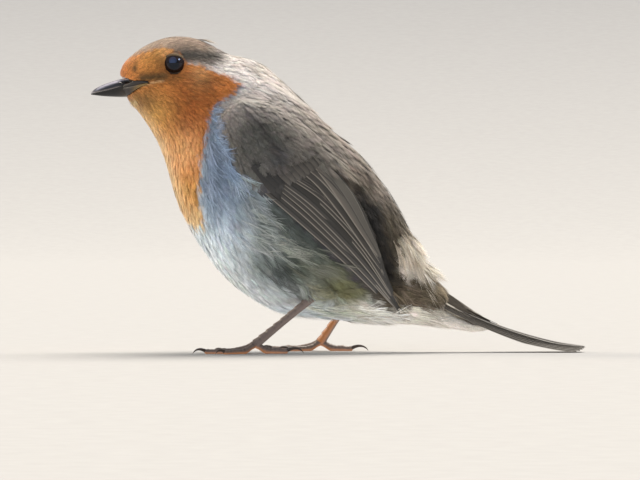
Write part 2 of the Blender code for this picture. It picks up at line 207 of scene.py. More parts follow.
# %% Camera
VIEW_WIDTH = 169.6  # mm across the picture at the bird
VIEW_CENTRE = (-4.8, 0.0, 29.7)
LENS, SENSOR = 300.0, 36.0  # mm
CAMERA_HEIGHT_DEGREES = 0.6
distance = VIEW_WIDTH * LENS / SENSOR
rise = math.radians(CAMERA_HEIGHT_DEGREES)
lens = bpy.data.cameras.new("long lens")
lens.lens, lens.sensor_width = LENS, SENSOR
lens.clip_start, lens.clip_end = 0.01, 20.0
camera = new_object("camera", lens)
backward = Vector((0, -math.cos(rise), math.sin(rise)))
camera.location = (Vector(VIEW_CENTRE) + backward * distance) * MM
camera.rotation_euler = (-backward).to_track_quat("-Z", "Y").to_euler()
bpy.context.scene.camera = camera
bpy.context.scene.view_settings.view_transform = "Standard"
print("the camera stands", round(distance), "mm away")

# %% Floor and studio light


def soft_sky(name, place, spread, strength, colour):
    """Light from a patch of sky in that direction, which spans that many degrees."""
    light = bpy.data.lights.new(name, "SUN")
    light.angle = math.radians(spread)
    light.energy, light.color = strength, hex_to_linear(colour)
    made = new_object(name, light)
    made.location = Vector(place) * MM
    made.rotation_euler = (-Vector(place)).to_track_quat("-Z", "Y").to_euler()
    return made


floor_paint, tree, out = new_material("matt wall paint, pale grey")
SPECKLES_PER_METRE = 900.0
grain = add_node(tree, "TexNoise", {"Scale": SPECKLES_PER_METRE, "Detail": 3.0})
span = {"From Min": 0.3, "From Max": 0.7, "To Min": 0.315, "To Max": 0.335}
tint = add_node(tree, "MapRange", span, {"Value": grain.outputs["Fac"]})
lay_surface(tree, out, tint.outputs[0], None, {"Roughness": 0.9})
FLAT_RADIUS, FLOOR_RADIUS, RIM_HEIGHT = 1600.0, 2600.0, 500.0  # mm
FLOOR_CORNERS = 96


def studio_floor():
    """A round floor that curves up into a low rim far away, so that no horizon shows."""
    turns = np.linspace(0, 2 * math.pi, FLOOR_CORNERS, endpoint=False)
    rings = [(r, 0.0) for r in (1.0, 150.0, 400.0, 1000.0, FLAT_RADIUS)]
    for bend in np.linspace(0.1, 1.57, 14):
        across = FLAT_RADIUS + (FLOOR_RADIUS - FLAT_RADIUS) * math.sin(bend)
        rings.append((across, RIM_HEIGHT * (1 - math.cos(bend))))
    points = [(r * math.cos(t), r * math.sin(t), z) for r, z in rings for t in turns]
    points.append((0, 0, 0))
    faces, count = [], len(turns)
    for i in range(len(rings) - 1):
        for k in range(count):
            a, b = i * count + k, i * count + (k + 1) % count
            faces += [(a, a + count, b), (b, a + count, b + count)]
    faces += [(len(points) - 1, k, (k + 1) % count) for k in range(count)]
    return mesh_object("floor", points, faces, floor_paint)


floor = studio_floor()
floor.location.z = -0.02 * MM

floor.visible_shadow = False  # lets the glow from below through
SKIES = (
    # name, where it comes from, how many degrees it spans, strength, colour
    ("sky above, behind", (140, 260, 560), 45, 6.2, "#fff6ea"),
    ("low sky ahead", (-560, 200, 160), 24, 3.4, "#fff1dc"),
    ("sky at the side", (-200, -500, 260), 50, 0.55, "#cfdcff"),
    ("glow from the table", (40, -170, -450), 60, 2.15, "#f4f7ff"),
)
for row in SKIES:
    soft_sky(*row)
world = bpy.data.worlds.new("studio")
world.use_nodes = True
sky = world.node_tree.nodes["Background"]
sky.inputs["Color"].default_value = (*hex_to_linear("#e4e8ea"), 1)
sky.inputs["Strength"].default_value = 0.52
bpy.context.scene.world = world
print("patches of sky:", len(SKIES))

# %% [markdown]
# ## The outline of the plumage
#
# The frame's head, neck, trunk, rump, thighs and wing shoulders are the outside of the coat. Feathers
# don't stop at the cuts between them, so they are fused into one closed form with a voxel remesh. It is
# never shown: it tells where the outside of the plumage is, and which way it faces. Under the tail it is
# drawn in to a narrow wedge, because there the coverts thin out until they meet the tail. A second form
# takes in the folded wings, for the feathers that lie over them.

# %% Fuse the flesh
FLESH = ["head", "neck", "trunk", "rump", "tail_coverts", "undertail_coverts"]
FLESH += ["thigh_left", "thigh_right", "wing_left_coverts", "wing_right_coverts"]
CUT_WIDTH = 0.3
VOXEL = 0.75
SWELL = 0.8  # of a cut's width, by which the pieces grow to close it
BESIDE = 60  # mm, from where rays feel for the bird's side


def fused_form(names, voxel, rounds):
    """One closed mesh round those nodes: its points and normals in millimetres, and its faces."""
    joined = bmesh.new()
    for name in names:
        joined.from_mesh(nodes[name].data)
    bmesh.ops.remove_doubles(joined, verts=joined.verts, dist=0.001 * MM)
    joined.normal_update()
    for vert in joined.verts:
        vert.co += vert.normal * CUT_WIDTH * SWELL * MM
    mesh = bpy.data.meshes.new("form")
    joined.to_mesh(mesh)
    joined.free()
    shape = new_object("form", mesh)
    remesh = shape.modifiers.new("fuse", "REMESH")
    remesh.mode, remesh.voxel_size = "VOXEL", voxel * MM
    smooth = shape.modifiers.new("soften", "SMOOTH")
    smooth.factor, smooth.iterations = 0.5, rounds
    done = shape.evaluated_get(bpy.context.evaluated_depsgraph_get()).to_mesh()
    points = np.array([v.co for v in done.vertices]) / MM
    normals = np.array([v.normal for v in done.vertices])
    faces = np.array([list(face.vertices) for face in done.polygons])
    bpy.data.objects.remove(shape)
    return points, normals, faces


form_points, form_normals, form_faces = fused_form(FLESH + ["eye_left", "eye_right"], VOXEL, 8)
TAIL_LINE, TAIL_FALL = 24.5, 0.41  # the folded tail's height at x = 0, and its fall with x
under_tail = ease(35, 43, form_points[:, 0])
tail_height = TAIL_LINE - TAIL_FALL * form_points[:, 0]
form_points[:, 2] += under_tail * (tail_height - form_points[:, 2]) * 0.8
form_points[:, 1] *= 1 - 0.5 * under_tail
form_tree = BVHTree.FromPolygons(form_points.tolist(), form_faces.tolist())
QUILLS = [f"wing_{side}_{part}" for side in ("left", "right") for part in ("secondaries", "primaries")]
over_points, over_normals, over_faces = fused_form(FLESH + QUILLS, VOXEL, 12)
over_tree = BVHTree.FromPolygons(over_points.tolist(), over_faces.tolist())
print("the form has", len(form_faces), "faces")


def on_form(points, over_wings=False):
    """The nearest places on the plumage's outside, and the smooth outward directions there."""
    tree, normals, faces = form_tree, form_normals, form_faces
    if over_wings:
        tree, normals, faces = over_tree, over_normals, over_faces
    places, outward = np.empty_like(points), np.empty_like(points)
    for i, point in enumerate(points):
        place, _, face, _ = tree.find_nearest(point)
        places[i] = place
        outward[i] = normals[faces[face]].mean(0)
    return places, unit(outward)


def on_left_side(x, z):
    """The place on the bird's left side that is seen at that x and z."""
    hit = form_tree.ray_cast(Vector((x, -BESIDE, z)), Vector((0, 1, 0)))[0]
    return hit if hit else Vector((x, 0, z))


# %% [markdown]
# ## Feather tracts
#
# Feathers grow in tracts, and each tract has its own size and lie: a millimetre or two round the bill,
# a centimetre along the flank. Each row of the table gives a place in side view, on the side of the bird
# or on its outline, the way the feathers point (degrees above the level line towards the tail), their
# length, width and depth over the skin, and how loosely they lie. Every other place takes a mix of the
# rows near it, so tracts have no border. Close to the eye the feathers shrink and turn away from it.

# %% The table of tracts
TRACTS = (
    # name, x, z, side or edge, lie, length, width, depth, looseness
    ("bill root", -57, 74, "edge", 58, 1.5, 0.7, 0.45, 0.5),
    ("forehead", -53.9, 78.2, "edge", 42, 2.2, 0.9, 0.7, 0.3),
    ("forecrown", -49.9, 81.1, "edge", 25, 2.8, 1.1, 0.9, 0.3),
    ("crown", -42.5, 83.3, "edge", -2, 3.5, 1.3, 1.1, 0.4),
    ("hindcrown", -35.3, 82.2, "edge", -16, 4.4, 1.6, 1.4, 0.7),
    ("nape", -30.8, 79.5, "edge", -28, 4.8, 1.9, 1.8, 0.4),
    ("hindneck", -24.7, 77.9, "edge", -22, 5.6, 2.2, 2, 0.6),
    ("upper mantle", -19.4, 76.1, "edge", -38, 6, 2.5, 2.2, 0.6),
    ("mantle", -10.1, 66.8, "edge", -43, 6.6, 2.9, 2.4, 0.3),
    ("back", 0.5, 57, "edge", -45, 7.2, 3.1, 2.5, 0.3),
    ("lower back", 9.7, 47.2, "edge", -50, 7.6, 3.2, 2.6, 0.3),
    ("rump", 16.9, 37.1, "edge", -60, 8.2, 3.2, 2.6, 0.5),
    ("rump end", 21.5, 26.5, "edge", -62, 8.5, 3, 2.2, 0.9),
    ("upper tail coverts", 27, 17.5, "edge", -36, 8.5, 2.8, 1.3, 0.3),
    ("lores", -51.7, 72.6, "side", 8, 1.5, 0.6, 0.45, 0.2),
    ("brow", -44.1, 80.3, "side", -2, 2.4, 0.9, 0.7, 0.2),
    ("below the eye", -44.1, 70.6, "side", -18, 2.3, 0.9, 0.7, 0.2),
    ("behind the eye", -38, 76, "side", -16, 2.9, 1.1, 0.9, 0.2),
    ("ear coverts", -36.6, 70.1, "side", -30, 3.6, 1.3, 1.2, 0.3),
    ("side of nape", -33, 77, "side", -26, 3.9, 1.5, 1.4, 0.3),
    ("side of neck", -29, 70.1, "side", -36, 4.6, 1.8, 1.6, 0.4),
    ("chin", -54.6, 66.4, "edge", -42, 1.8, 0.7, 0.6, 0.8),
    ("throat", -49.9, 61.8, "edge", -54, 3, 1.2, 1.1, 0.4),
    ("whisker stripe", -50.2, 67.6, "side", -26, 2.1, 0.85, 0.7, 0.2),
    ("side of throat", -43.3, 64.1, "side", -46, 3.4, 1.35, 1.3, 0.3),
    ("foreneck", -45.9, 54.9, "edge", -72, 5, 2, 2, 0.4),
    ("side of foreneck", -38, 56.2, "side", -64, 5.2, 2.1, 2.2, 0.4),
    ("breast", -43.8, 44.3, "edge", -80, 6.5, 2.7, 2.8, 0.5),
    ("side of breast", -37.5, 42.9, "side", -64, 6.8, 2.8, 2.8, 0.5),
    ("lower breast", -38.5, 32.3, "edge", -62, 7.5, 3.1, 3, 0.5),
    ("belly", -28.7, 19.1, "edge", -45, 8, 3.4, 3, 0.5),
    ("side of belly", -29, 29, "side", -55, 8, 3.3, 3, 0.5),
    ("lower belly", -15.4, 9.8, "edge", -20, 8, 3.2, 2.6, 0.7),
    ("bend of wing, below", -31.9, 58.8, "side", -68, 4.6, 1.7, 1.8, 0.8),
    ("armpit", -29, 48, "side", -50, 6, 2.2, 2.4, 1),
    ("front of flank", -23.4, 33.7, "side", -45, 8.5, 3, 2.9, 0.8),
    ("flank", -12.8, 24.4, "side", -38, 9.5, 3.2, 3, 0.9),
    ("rear of flank", -0.9, 17.8, "side", -24, 9.5, 3, 2.8, 0.9),
    ("thigh", -8.5, 13.8, "side", -34, 5.6, 2.2, 1.6, 0.7),
    ("side of vent", 7.1, 13, "side", -14, 8.5, 2.8, 2.2, 0.9),
    ("vent", 3.1, 6.9, "edge", -6, 8.5, 2.8, 2, 0.9),
    ("undertail", 18, 7, "edge", -6, 8.5, 2.8, 1.4, 0.5),
    ("end of undertail", 32, 5.6, "edge", -16, 7, 2.2, 0.7, 0.3),
    ("bend of wing", -28.1, 60.2, "side", -50, 3.6, 1.8, 1.2, 0.3),
    ("lesser coverts", -22.1, 55.2, "side", -50, 4.2, 2.3, 1.3, 0.2),
    ("wrist", -22.1, 47.6, "side", -48, 4.6, 2.2, 1.2, 0.2),
    ("shoulder", -14.1, 56, "side", -52, 5.4, 2.8, 1.5, 0.3),
    ("scapulars", -6, 56.2, "side", -50, 7.2, 3.2, 2, 0.3),
    ("rear scapulars", 1.8, 48.2, "side", -53, 7.8, 3.2, 2, 0.3),
)
REACH = 5.0  # mm over which one tract blends into the next
EYE_TURN, EYE_SHRINK = 0.9, 2.6  # mm from the eye over which feathers turn away from it, and are smaller
EYE_CENTRE = np.mean([np.array(corner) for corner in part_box("eye_left")], axis=0) / MM
EYE_RADIUS = (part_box("eye_left")[1].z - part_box("eye_left")[0].z) / 2 / MM

places, lies, sizes = [], [], []
for _, x, z, where, lie, *size in TRACTS:
    places.append(on_left_side(x, z) if where == "side" else Vector((x, 0, z)))
    lies.append(pointing(lie))
    sizes.append(size)
tract_places, _ = on_form(np.array(places))
tract_lies, tract_sizes = np.array(lies), np.array(sizes)


def tract_mix(points):
    """The lie of the feathers at those points, and their length, width, depth and looseness."""
    folded = on_one_side(points)
    gaps = np.linalg.norm(folded[:, None] - tract_places[None], axis=2)
    weights = 1 / (gaps**3 + REACH * 0.2)
    weights *= np.exp(-gaps / REACH)
    weights /= weights.sum(1, keepdims=True)
    lie = unit(weights @ tract_lies)
    eye_gap = folded - EYE_CENTRE
    from_eye = np.linalg.norm(eye_gap, axis=1, keepdims=True) - EYE_RADIUS
    round_eye = np.exp(-np.maximum(from_eye, 0) / EYE_TURN)
    lie = unit(lie + unit(eye_gap * (1, 0, 1)) * round_eye * 0.9)
    mixed = weights @ tract_sizes
    mixed[:, :3] *= 1 - 0.6 * (1 - ease(0.0, EYE_SHRINK, from_eye))
    return lie, mixed


print("tracts:", len(TRACTS))

# %% [markdown]
# ## Markings
#
# A robin's face and breast are orange, edged with ash blue where they meet the brown back; the belly is
# white and the flanks olive-grey. One function gives the colour at any point, and both the skin and the
# feathers ask it, so they can't disagree. The edges of the orange and of the brown are drawn in side
# view. Within them tables lay the dyes one over the other, in soft spots, strokes and ramps. A feather
# asks along its shaft, a little beside it, so an edge turns into overlapping tips, as on a real bird.

# %% Edges of the orange and of the brown
ORANGE = (
    (-62, 70), (-60.5, 77), (-55.6, 77.9), (-53.6, 78.7), (-49.9, 79.8), (-46.6, 80.5),
    (-44.4, 80.2), (-42.2, 78.9), (-39.8, 76.4), (-35.3, 75.5), (-30.8, 73.4), (-28.4, 72.7),
    (-25.4, 70.7), (-27.6, 68.2), (-31, 66.2), (-33.2, 63.9), (-34.1, 60.2), (-34.8, 55.5),
    (-36.2, 50.9), (-36.5, 43.5), (-36.9, 40.3), (-35.4, 35), (-36, 32.6), (-38.4, 32.4),
    (-41, 35), (-50, 31), (-64, 56),
)  # fmt: skip
BROWN = (
    (-60, 78), (-56, 84), (-40, 92), (0, 92), (45, 60), (70, 12),
    (48, 7.6), (34, 9.9), (26, 11.2), (18, 11.6), (11, 12.2), (6, 17.5), (-2, 26),
    (-12, 35), (-18, 40.9), (-23.9, 44.3), (-27.6, 49), (-27.6, 51.7), (-29.2, 54.3),
    (-30.4, 56.7), (-31.4, 59.1), (-32, 63.6), (-31.3, 65.5), (-29, 67), (-26, 68.2),
    (-24.8, 70.1), (-30, 72), (-38, 75), (-50, 77),
)  # fmt: skip


def edge_distance(points, outline):
    """How far each (x, z) is inside a closed outline, in millimetres; negative outside."""
    flat, outline = points[:, [0, 2]], np.array(outline)
    nearest = np.full(len(flat), 1e9)
    inside = np.zeros(len(flat), bool)
    for start, end in zip(outline, np.roll(outline, -1, axis=0)):
        side = end - start
        along = np.clip(((flat - start) @ side) / (side @ side), 0, 1)
        nearest = np.minimum(nearest, np.linalg.norm(flat - start - along[:, None] * side, axis=1))
        crosses = (start[1] > flat[:, 1]) != (end[1] > flat[:, 1])
        with np.errstate(divide="ignore", invalid="ignore"):
            at = start[0] + (flat[:, 1] - start[1]) / side[1] * side[0]
        inside ^= crosses & (flat[:, 0] < at)
    return np.where(inside, nearest, -nearest)


print("corners:", len(ORANGE), "of the orange,", len(BROWN), "of the brown")

# %% Dyes and the marks they make
DYES = {
    "orange": "#c77a3a",
    "rust": "#a8602c",
    # a darker rust for painted shade
    "deep rust": "#9a4a1a",
    "pale orange": "#e2ab70",
    "ochre": "#c9984f",
    # the lores' olive brown, also used as painted shade round the bill and eye
    "olive brown": "#5f4626",
    # a pale straw, also used as painted rim light along the throat and breast
    "straw": "#dfc596",
    "crown brown": "#a08a77",
    "crown grey": "#544f49",
    # a grey nape, lightened nearly to white as painted rim light
    "nape grey": "#f0e9e3",
    "back brown": "#988e85",
    "wing brown": "#5d5b55",
    # the wing's dark coverts, also used as painted shadow under the wing
    "wing dark": "#3c3b3e",
    "ash blue": "#6c7c90",
    "white": "#edf3f3",
    "blue white": "#b4c3cf",
    # the flanks' olive grey and dark feathers, made darker as painted shade
    "flank grey": "#5f675e",
    "flank dark": "#343a33",
    "flank olive": "#63613a",
    "rump brown": "#544a3a",
    # painted shadow
    "shadow brown": "#1b1917",
    "cream": "#efe4d3",
}
dyes = {name: hex_to_linear(code) for name, code in DYES.items()}


def blend(base, dye, share):
    """The base colours with a share of a dye, or of a hex colour, laid over them."""
    over = dyes[dye] if dye in dyes else hex_to_linear(dye)
    return base + (over - base) * np.clip(share, 0, 1)[:, None]


def near(points, x, z, reach, tall=1.0):
    """1 at a place in side view, fading to 0 over that reach, or over tall times that in height."""
    return np.exp(-((points[:, 0] - x) ** 2 + ((points[:, 2] - z) / tall) ** 2) / reach**2)


def stroke(points, start, end, width):
    """1 along a line in side view, fading to 0 over that width."""
    start, run = np.array(start), np.array(end) - np.array(start)
    flat = points[:, [0, 2]] - start
    along = np.clip(flat @ run / (run @ run), 0, 1)
    return np.exp(-(((flat - along[:, None] * run) ** 2).sum(1)) / width**2)


def ripple(points, scale, seed):
    """A gentle uneven pattern from -1 to 1, with patches about that many millimetres across."""
    directions = unit(np.random.default_rng(seed).normal(size=(5, 3)))
    waves = np.sin(points @ directions.T * (6.28 / scale) + np.arange(5) * 1.7)
    return waves.mean(1) * 1.6


def ramp(points, along, up, uneven_along=None, uneven_up=None):
    """From 0 to 1 over a stretch of x, times the same for z. A ripple makes the edge uneven."""
    x, z = points[:, 0], points[:, 2]
    if uneven_along:
        x = x + ripple(points, *uneven_along) * 2
    if uneven_up:
        z = z + ripple(points, *uneven_up) * 2
    return ease(*along, x) * ease(*up, z)


def below(points, top, full):
    """0 above one height and 1 below the other."""
    return ease(top, full, points[:, 2])


def on_flat_side(points, field, *where):
    """A mark that is on the sides of the bird and not along the middle of its back."""
    return field(points, *where) * ease(7, 10, np.abs(points[:, 1]))


def several(points, *marks):
    """A few marks that run together, each with its share."""
    return sum(field(points, *where) * share for share, field, *where in marks)


def torn_tips(points):
    """The pale ends of the rump feathers, with a ragged upper edge."""
    x, z = points[:, 0], points[:, 2]
    ragged = ripple(points, 1.9, 6) * 1.3
    tips = ease(16.0, 17.6, x + ragged) * ease(31, 28, z + ragged) * ease(18, 21, z - ragged)
    return tips * (0.9 + 0.4 * ripple(points, 1.3, 7))


print("dyes:", ", ".join(DYES))

# %% Colour at any point
# Each row has a dye, its share, a mark, and the mark's places and sizes.
UNDERSIDE = (
    ("blue white", 1, near, -31, 38, 13),
    ("ash blue", 0.88, ramp, (-40, -34), (31, 46), None, (6, 4)),
    # the flank's own grey and dark feathers, darkened in part as painted shade under the wing
    ("flank grey", 0.85, ramp, (-30, -17), (12, 23), (7, 1)),
    ("flank dark", 0.8, near, -10.5, 22.8, 6),
    ("flank grey", 0.2, near, -26, 21.5, 5),
    ("flank dark", 0.8, stroke, (-16, 36), (8, 18), 2.6),
    ("flank olive", 0.95, near, 1, 16.8, 11, 0.6),
    ("flank olive", 0.85, near, 4, 14.6, 5.5, 0.55),
    ("cream", 0.85, ramp, (-2, 9), (15, 11)),
)
UPPERSIDE = (
    # painted rim light on the hindneck and the top of the mantle
    ("nape grey", 1, several, (1, near, -24, 75, 9), (0.45, near, -13, 68, 8)),
    ("crown brown", 1, ramp, (-30, -36), (74.5, 78)),
    ("crown grey", 1, stroke, (-40.3, 78.7), (-32.3, 77.9), 2.2),
    # a pale streak behind the eye, in the same grey lightened as painted rim light
    ("nape grey", 0.35, stroke, (-39, 75.9), (-33, 75.1), 0.9),
    ("nape grey", 0.8, stroke, (-32, 75), (-28, 74.4), 1.2),
    ("wing brown", 1.3, on_flat_side, near, -19.5, 54.8, 10),
    ("wing brown", 0.9, on_flat_side, near, -5, 50, 6.5),
    ("wing dark", 0.7, near, -14.6, 51.2, 2.4, 1.6),
    ("wing dark", 0.4, on_flat_side, near, -17.5, 45, 4),
    ("wing brown", 1, on_flat_side, stroke, (-28, 52), (-20, 43), 3),
    # painted shadow along the lower edge of the folded wing
    ("wing dark", 1, stroke, (-19, 41.5), (10, 14), 3.2),
    ("rump brown", 1, several, (1, ramp, (4, 14), (46, 34)), (0.7, near, 6, 44.5, 6.5)),
    # painted shadow in the gap between the folded wing and the rump
    ("shadow brown", 1, several, (1, stroke, (5.8, 41.5), (9, 36), 2), (1, stroke, (9, 36), (13.5, 20), 3)),
    ("cream", 1, torn_tips),
)
BIB = (
    ("rust", 0.95, near, -39, 66, 7.5),
    # painted shade on the upper breast, under the throat
    ("deep rust", 0.95, near, -42, 61.5, 4.5),
    ("pale orange", 0.9, near, -41, 52.5, 6),
    ("pale orange", 0.8, near, -36, 73, 3),
    ("ochre", 0.9, near, -49, 62.5, 6.5),
    ("ochre", 1, several, (0.5, near, -51, 77.5, 4.5), (0.6, near, -46.5, 80, 3)),
    ("pale orange", 0.6, near, -45, 79.2, 2),
    ("ochre", 0.8, below, 50, 42),
    ("straw", 0.7, below, 41, 34),
    # painted rim light along the front edge of the chin, throat and breast
    ("straw", 0.65, stroke, (-54.5, 65), (-49, 57.5), 2.2),
    ("straw", 0.85, stroke, (-47.5, 54.5), (-43, 40), 2.4),
    ("olive brown", 1, stroke, (-51.5, 72.5), (-45.8, 73), 1.4),
    ("olive brown", 0.5, near, -43, 72.2, 2.6, 0.6),
    # painted shade under the bill, on the chin
    ("olive brown", 0.7, near, -50.6, 66.6, 3),
    # painted shade in front of the eye
    ("olive brown", 0.5, near, -46.2, 76.2, 1.7),
    ("straw", 0.3, stroke, (-52.5, 70.3), (-46, 71.8), 0.3),
    # painted shadow in a gap of the feathers over the nostril
    ("olive brown", 0.9, near, -53.7, 75, 0.7, 1.6),
)


def painted(points, ground, rows):
    """Colours that start from one dye and take the rows' marks over it in turn."""
    colour = np.tile(dyes[ground], (len(points), 1))
    for dye, share, field, *where in rows:
        colour = blend(colour, dye, field(points, *where) * share)
    return colour


def markings(points):
    """The plumage's colour at those points, as linear values."""
    brown = ease(-0.5, 0.5, edge_distance(points, BROWN) + ripple(points, 3.1, 2) * 0.4)[:, None]
    colour = painted(points, "white", UNDERSIDE) * (1 - brown)
    colour += painted(points, "back brown", UPPERSIDE) * brown
    inside = edge_distance(points, ORANGE) + ripple(points, 1.7, 3) * 0.5
    orange = ease(-0.5, 0.5, inside)[:, None]
    colour = colour * (1 - orange) + painted(points, "orange", BIB) * orange
    return colour * (1 + 0.09 * ripple(points, 1.5, 31) + 0.07 * ripple(points, 4.3, 32))[:, None]


print("marks:", len(UNDERSIDE), "below,", len(UPPERSIDE), "above and", len(BIB), "on the bib")

# %% [markdown]
# ## The feather material
#
# A feather is keratin, the stuff of nails, drawn out into barbs finer than hair. In the coat they point
# every way, so they give no gloss, only a soft sheen at grazing angles. The colour is that of the
# markings, stored at each point of the mesh, with a fine unevenness about 0.15 mm across: real barbs are
# 0.02 mm wide, too fine to show. The skin below has the same colours and no sheen.

# %% Plumage material
BARB_GRAIN = 0.15


def plumage_material(name, roughness, sheen, streaks):
    """Feather keratin that takes its colour from the markings stored on the mesh."""
    made, tree, out = new_material(name)
    stored = add_node(tree, "Attribute", {"attribute_name": "markings"})
    place = add_node(tree, "TexCoord")
    barbs = {"Scale": 1 / (BARB_GRAIN * MM) / 2, "Detail": 2.0}
    fine = add_node(tree, "TexNoise", barbs, {"Vector": place.outputs["Object"]})
    span = {"From Min": 0.3, "From Max": 0.7, "To Min": 1 - streaks, "To Max": 1 + streaks}
    shade = add_node(tree, "MapRange", span, {"Value": fine.outputs["Fac"]})
    keratin = {"Roughness": roughness, "IOR": 1.54, "Specular IOR Level": 0.25}
    keratin |= {"Sheen Weight": sheen, "Sheen Roughness": 0.45}
    lay_surface(tree, out, stored.outputs["Color"], shade.outputs[0], keratin)
    return made


coat_keratin = plumage_material("feather keratin, downy coat", 0.85, 0.22, 0.10)
skin_leather = plumage_material("skin under the feathers", 0.8, 0.0, 0.10)


def store_markings(made, colours):
    """Keeps one linear colour for each point of a mesh."""
    layer = made.data.attributes.new("markings", "FLOAT_COLOR", "POINT")
    rows = np.column_stack([np.clip(colours, 0, 1), np.ones(len(colours))]).astype(np.float32)
    layer.data.foreach_set("color", rows.ravel())


print("materials so far:", len(bpy.data.materials))

# %% [markdown]
# ## One skin
#
# The skin is the fused form moved inwards by the depth of the coat, with no seam from bill to tail.
# Round each eye it ends in lids, a rolled rim that lies on the eyeball and is pinched at the front and
# rear corners. Behind the bill a narrow strip is bare and dark, under the soft corner of the mouth.

# %% Lids and bare places
LID_WIDTH, LID_HEIGHT = 2.90, 2.22  # half sizes of the eye's opening
LID_THICK = 0.20
LID_STOPS, LID_CORNERS = 64, 10
FAR_AWAY = 99.0  # mm, for what is behind an eye
EYE_AXIS = unit(np.array((-0.03, -0.999, -0.03)))
BARE_MOUTH = (
    (-60, 72.6), (-57.4, 72.5), (-56, 72.3), (-54.4, 71.9), (-50.5, 71.6), (-49.9, 71.2),
    (-50.7, 70.9), (-52.3, 70.1), (-53.6, 69.3), (-54.9, 68.5), (-56.2, 67.8), (-60, 67.4),
)  # fmt: skip


def eye_frame(side):
    """An eye's centre, its axis outwards, and the directions tailwards and downwards across it."""
    mirror = np.array((1, -side, 1))
    axis = EYE_AXIS * mirror
    tailward = unit(np.cross((0.0, 0.0, side), axis) * -1.0)
    return EYE_CENTRE * mirror, axis, tailward, unit(np.cross(axis, tailward)) * side


def lid_ring(side):
    """The rolled rim of the lids round one eye, as points and faces."""
    centre, axis, tailward, down = eye_frame(side)
    points, faces = [], []
    for i in range(LID_STOPS):
        turn = 2 * math.pi * i / LID_STOPS
        pinch = 1 + 0.05 * math.cos(turn) ** 6
        rim = tailward * math.cos(turn) * LID_WIDTH * pinch + down * math.sin(turn) * LID_HEIGHT
        rim *= 1 + 1.4 * LID_THICK / np.linalg.norm(rim)
        reach = np.linalg.norm(rim)
        lift = math.sqrt(max(EYE_RADIUS**2 - reach**2, 0))
        middle = centre + rim + axis * lift
        out = rim / reach
        thick = LID_THICK * (1 + 0.12 * math.sin(7 * turn) + 0.08 * math.sin(17 * turn + 1))
        here, there = i * LID_CORNERS, (i + 1) % LID_STOPS * LID_CORNERS
        for k in range(LID_CORNERS):
            roll = 2 * math.pi * k / LID_CORNERS
            across = out * math.cos(roll) * 1.5 + axis * math.sin(roll)
            points.append(middle + across * thick + axis * 0.05)
            after = (k + 1) % LID_CORNERS
            faces.append((here + k, here + after, there + after, there + k)[::-side])
    return np.array(points), np.array(faces)


def eye_opening(points):
    """How far each point is from the axis of the nearer eye, in millimetres."""
    gap = on_one_side(points) - EYE_CENTRE
    ahead = gap @ EYE_AXIS
    across = np.linalg.norm(gap - ahead[:, None] * EYE_AXIS, axis=1)
    return np.where(ahead > 0, across, FAR_AWAY)


print("the eye opens", 2 * LID_WIDTH, "by", 2 * LID_HEIGHT, "mm")

# %% The skin
COAT_SHARE = 0.55  # of the feathers' depth, by which the skin lies inside the plumage
BEHIND_EYE, BEHIND_MOUTH = 1.6, 1.5  # mm by which it goes deeper there
_, form_sizes = tract_mix(form_points)
bare = ease(-0.35, 0.15, edge_distance(form_points, BARE_MOUTH))
inward = form_sizes[:, 2] * COAT_SHARE + BEHIND_EYE * (1 - ease(2.2, 3.0, eye_opening(form_points)))
inward += BEHIND_MOUTH * bare
skin_colours = blend(markings(form_points) * 0.8, "#1d1916", bare)
skin_parts = [(form_points - form_normals * inward[:, None], form_faces, skin_colours)]
for side in (-1, 1):
    ring_points, ring_faces = lid_ring(side)
    rear = ease(-2.0, 3.0, (ring_points - eye_frame(side)[0]) @ np.array((0.75, 0, 0.66)))
    skin_parts.append((ring_points, ring_faces, blend(hex_to_linear("#3d3025"), "#7d6a50", rear)))
skin_points, skin_faces, skin_colours = joined(skin_parts)
skin = mesh_object("skin", skin_points, skin_faces, skin_leather)
store_markings(skin, skin_colours)
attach(skin, "root")
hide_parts(*FLESH)
print("skin:", len(skin_faces), "faces")

# %% [markdown]
# ## Where each feather is rooted
#
# Real feathers stand evenly, neither in a grid nor at random. Scattered points come close to that if no
# two are nearer than a set distance: many are drawn over the form, more where feathers are small, and
# each one kept clears its neighbours away. None is rooted on an eye, the bill or the bare corner of the
# mouth, or where a folded wing would hide it.

# %% Where no feather grows
WING_MARGIN = 1.7  # mm that the wing has to reach past a root
WING_REACH = (-22, 18)  # between these x the wing lies on the trunk
BILL_END, BILL_HALF_WIDTH, BILL_MIDDLE, BILL_HALF_HEIGHT = -56.6, 2.3, 70.3, 2.6


def node_tree_of(names):
    """Those nodes as one tree that rays can be cast at, in millimetres."""
    points, faces = [], []
    for name in names:
        start = len(points)
        mesh = nodes[name].data
        points += [tuple(v.co / MM) for v in mesh.vertices]
        faces += [tuple(start + i for i in face.vertices) for face in mesh.polygons]
    return BVHTree.FromPolygons(points, faces)


quill_tree = node_tree_of(QUILLS)


def under_wing(points):
    """True where the flight feathers of the folded wing cover a point."""
    covered = np.zeros(len(points), bool)
    corners = [(a * WING_MARGIN, b * WING_MARGIN) for a in (-1, 1) for b in (-1, 1)]
    for i, (x, y, z) in enumerate(points):
        side = 1 if y > 0 else -1
        if abs(y) < 5 or not WING_REACH[0] < x < WING_REACH[1]:
            continue
        starts = (Vector((x + a, side * BESIDE, z + b)) for a, b in corners)
        covered[i] = all(quill_tree.ray_cast(start, Vector((0, -side, 0)))[0] for start in starts)
    return covered


def crosses_bare_skin(shaft):
    """True for each feather whose shaft passes over an eye or the bare corner of the mouth."""
    stops = shaft.reshape(-1, 3)
    bare = (edge_distance(stops, BARE_MOUTH) > -0.12) | (eye_opening(stops) < LID_WIDTH + 0.2)
    return bare.reshape(shaft.shape[:2]).any(1)


print("nodes that hide the coat below them:", len(QUILLS))

# %% Scatter the roots
SPACING = 0.36  # of a feather's width
TRIES = 4  # candidates for each root


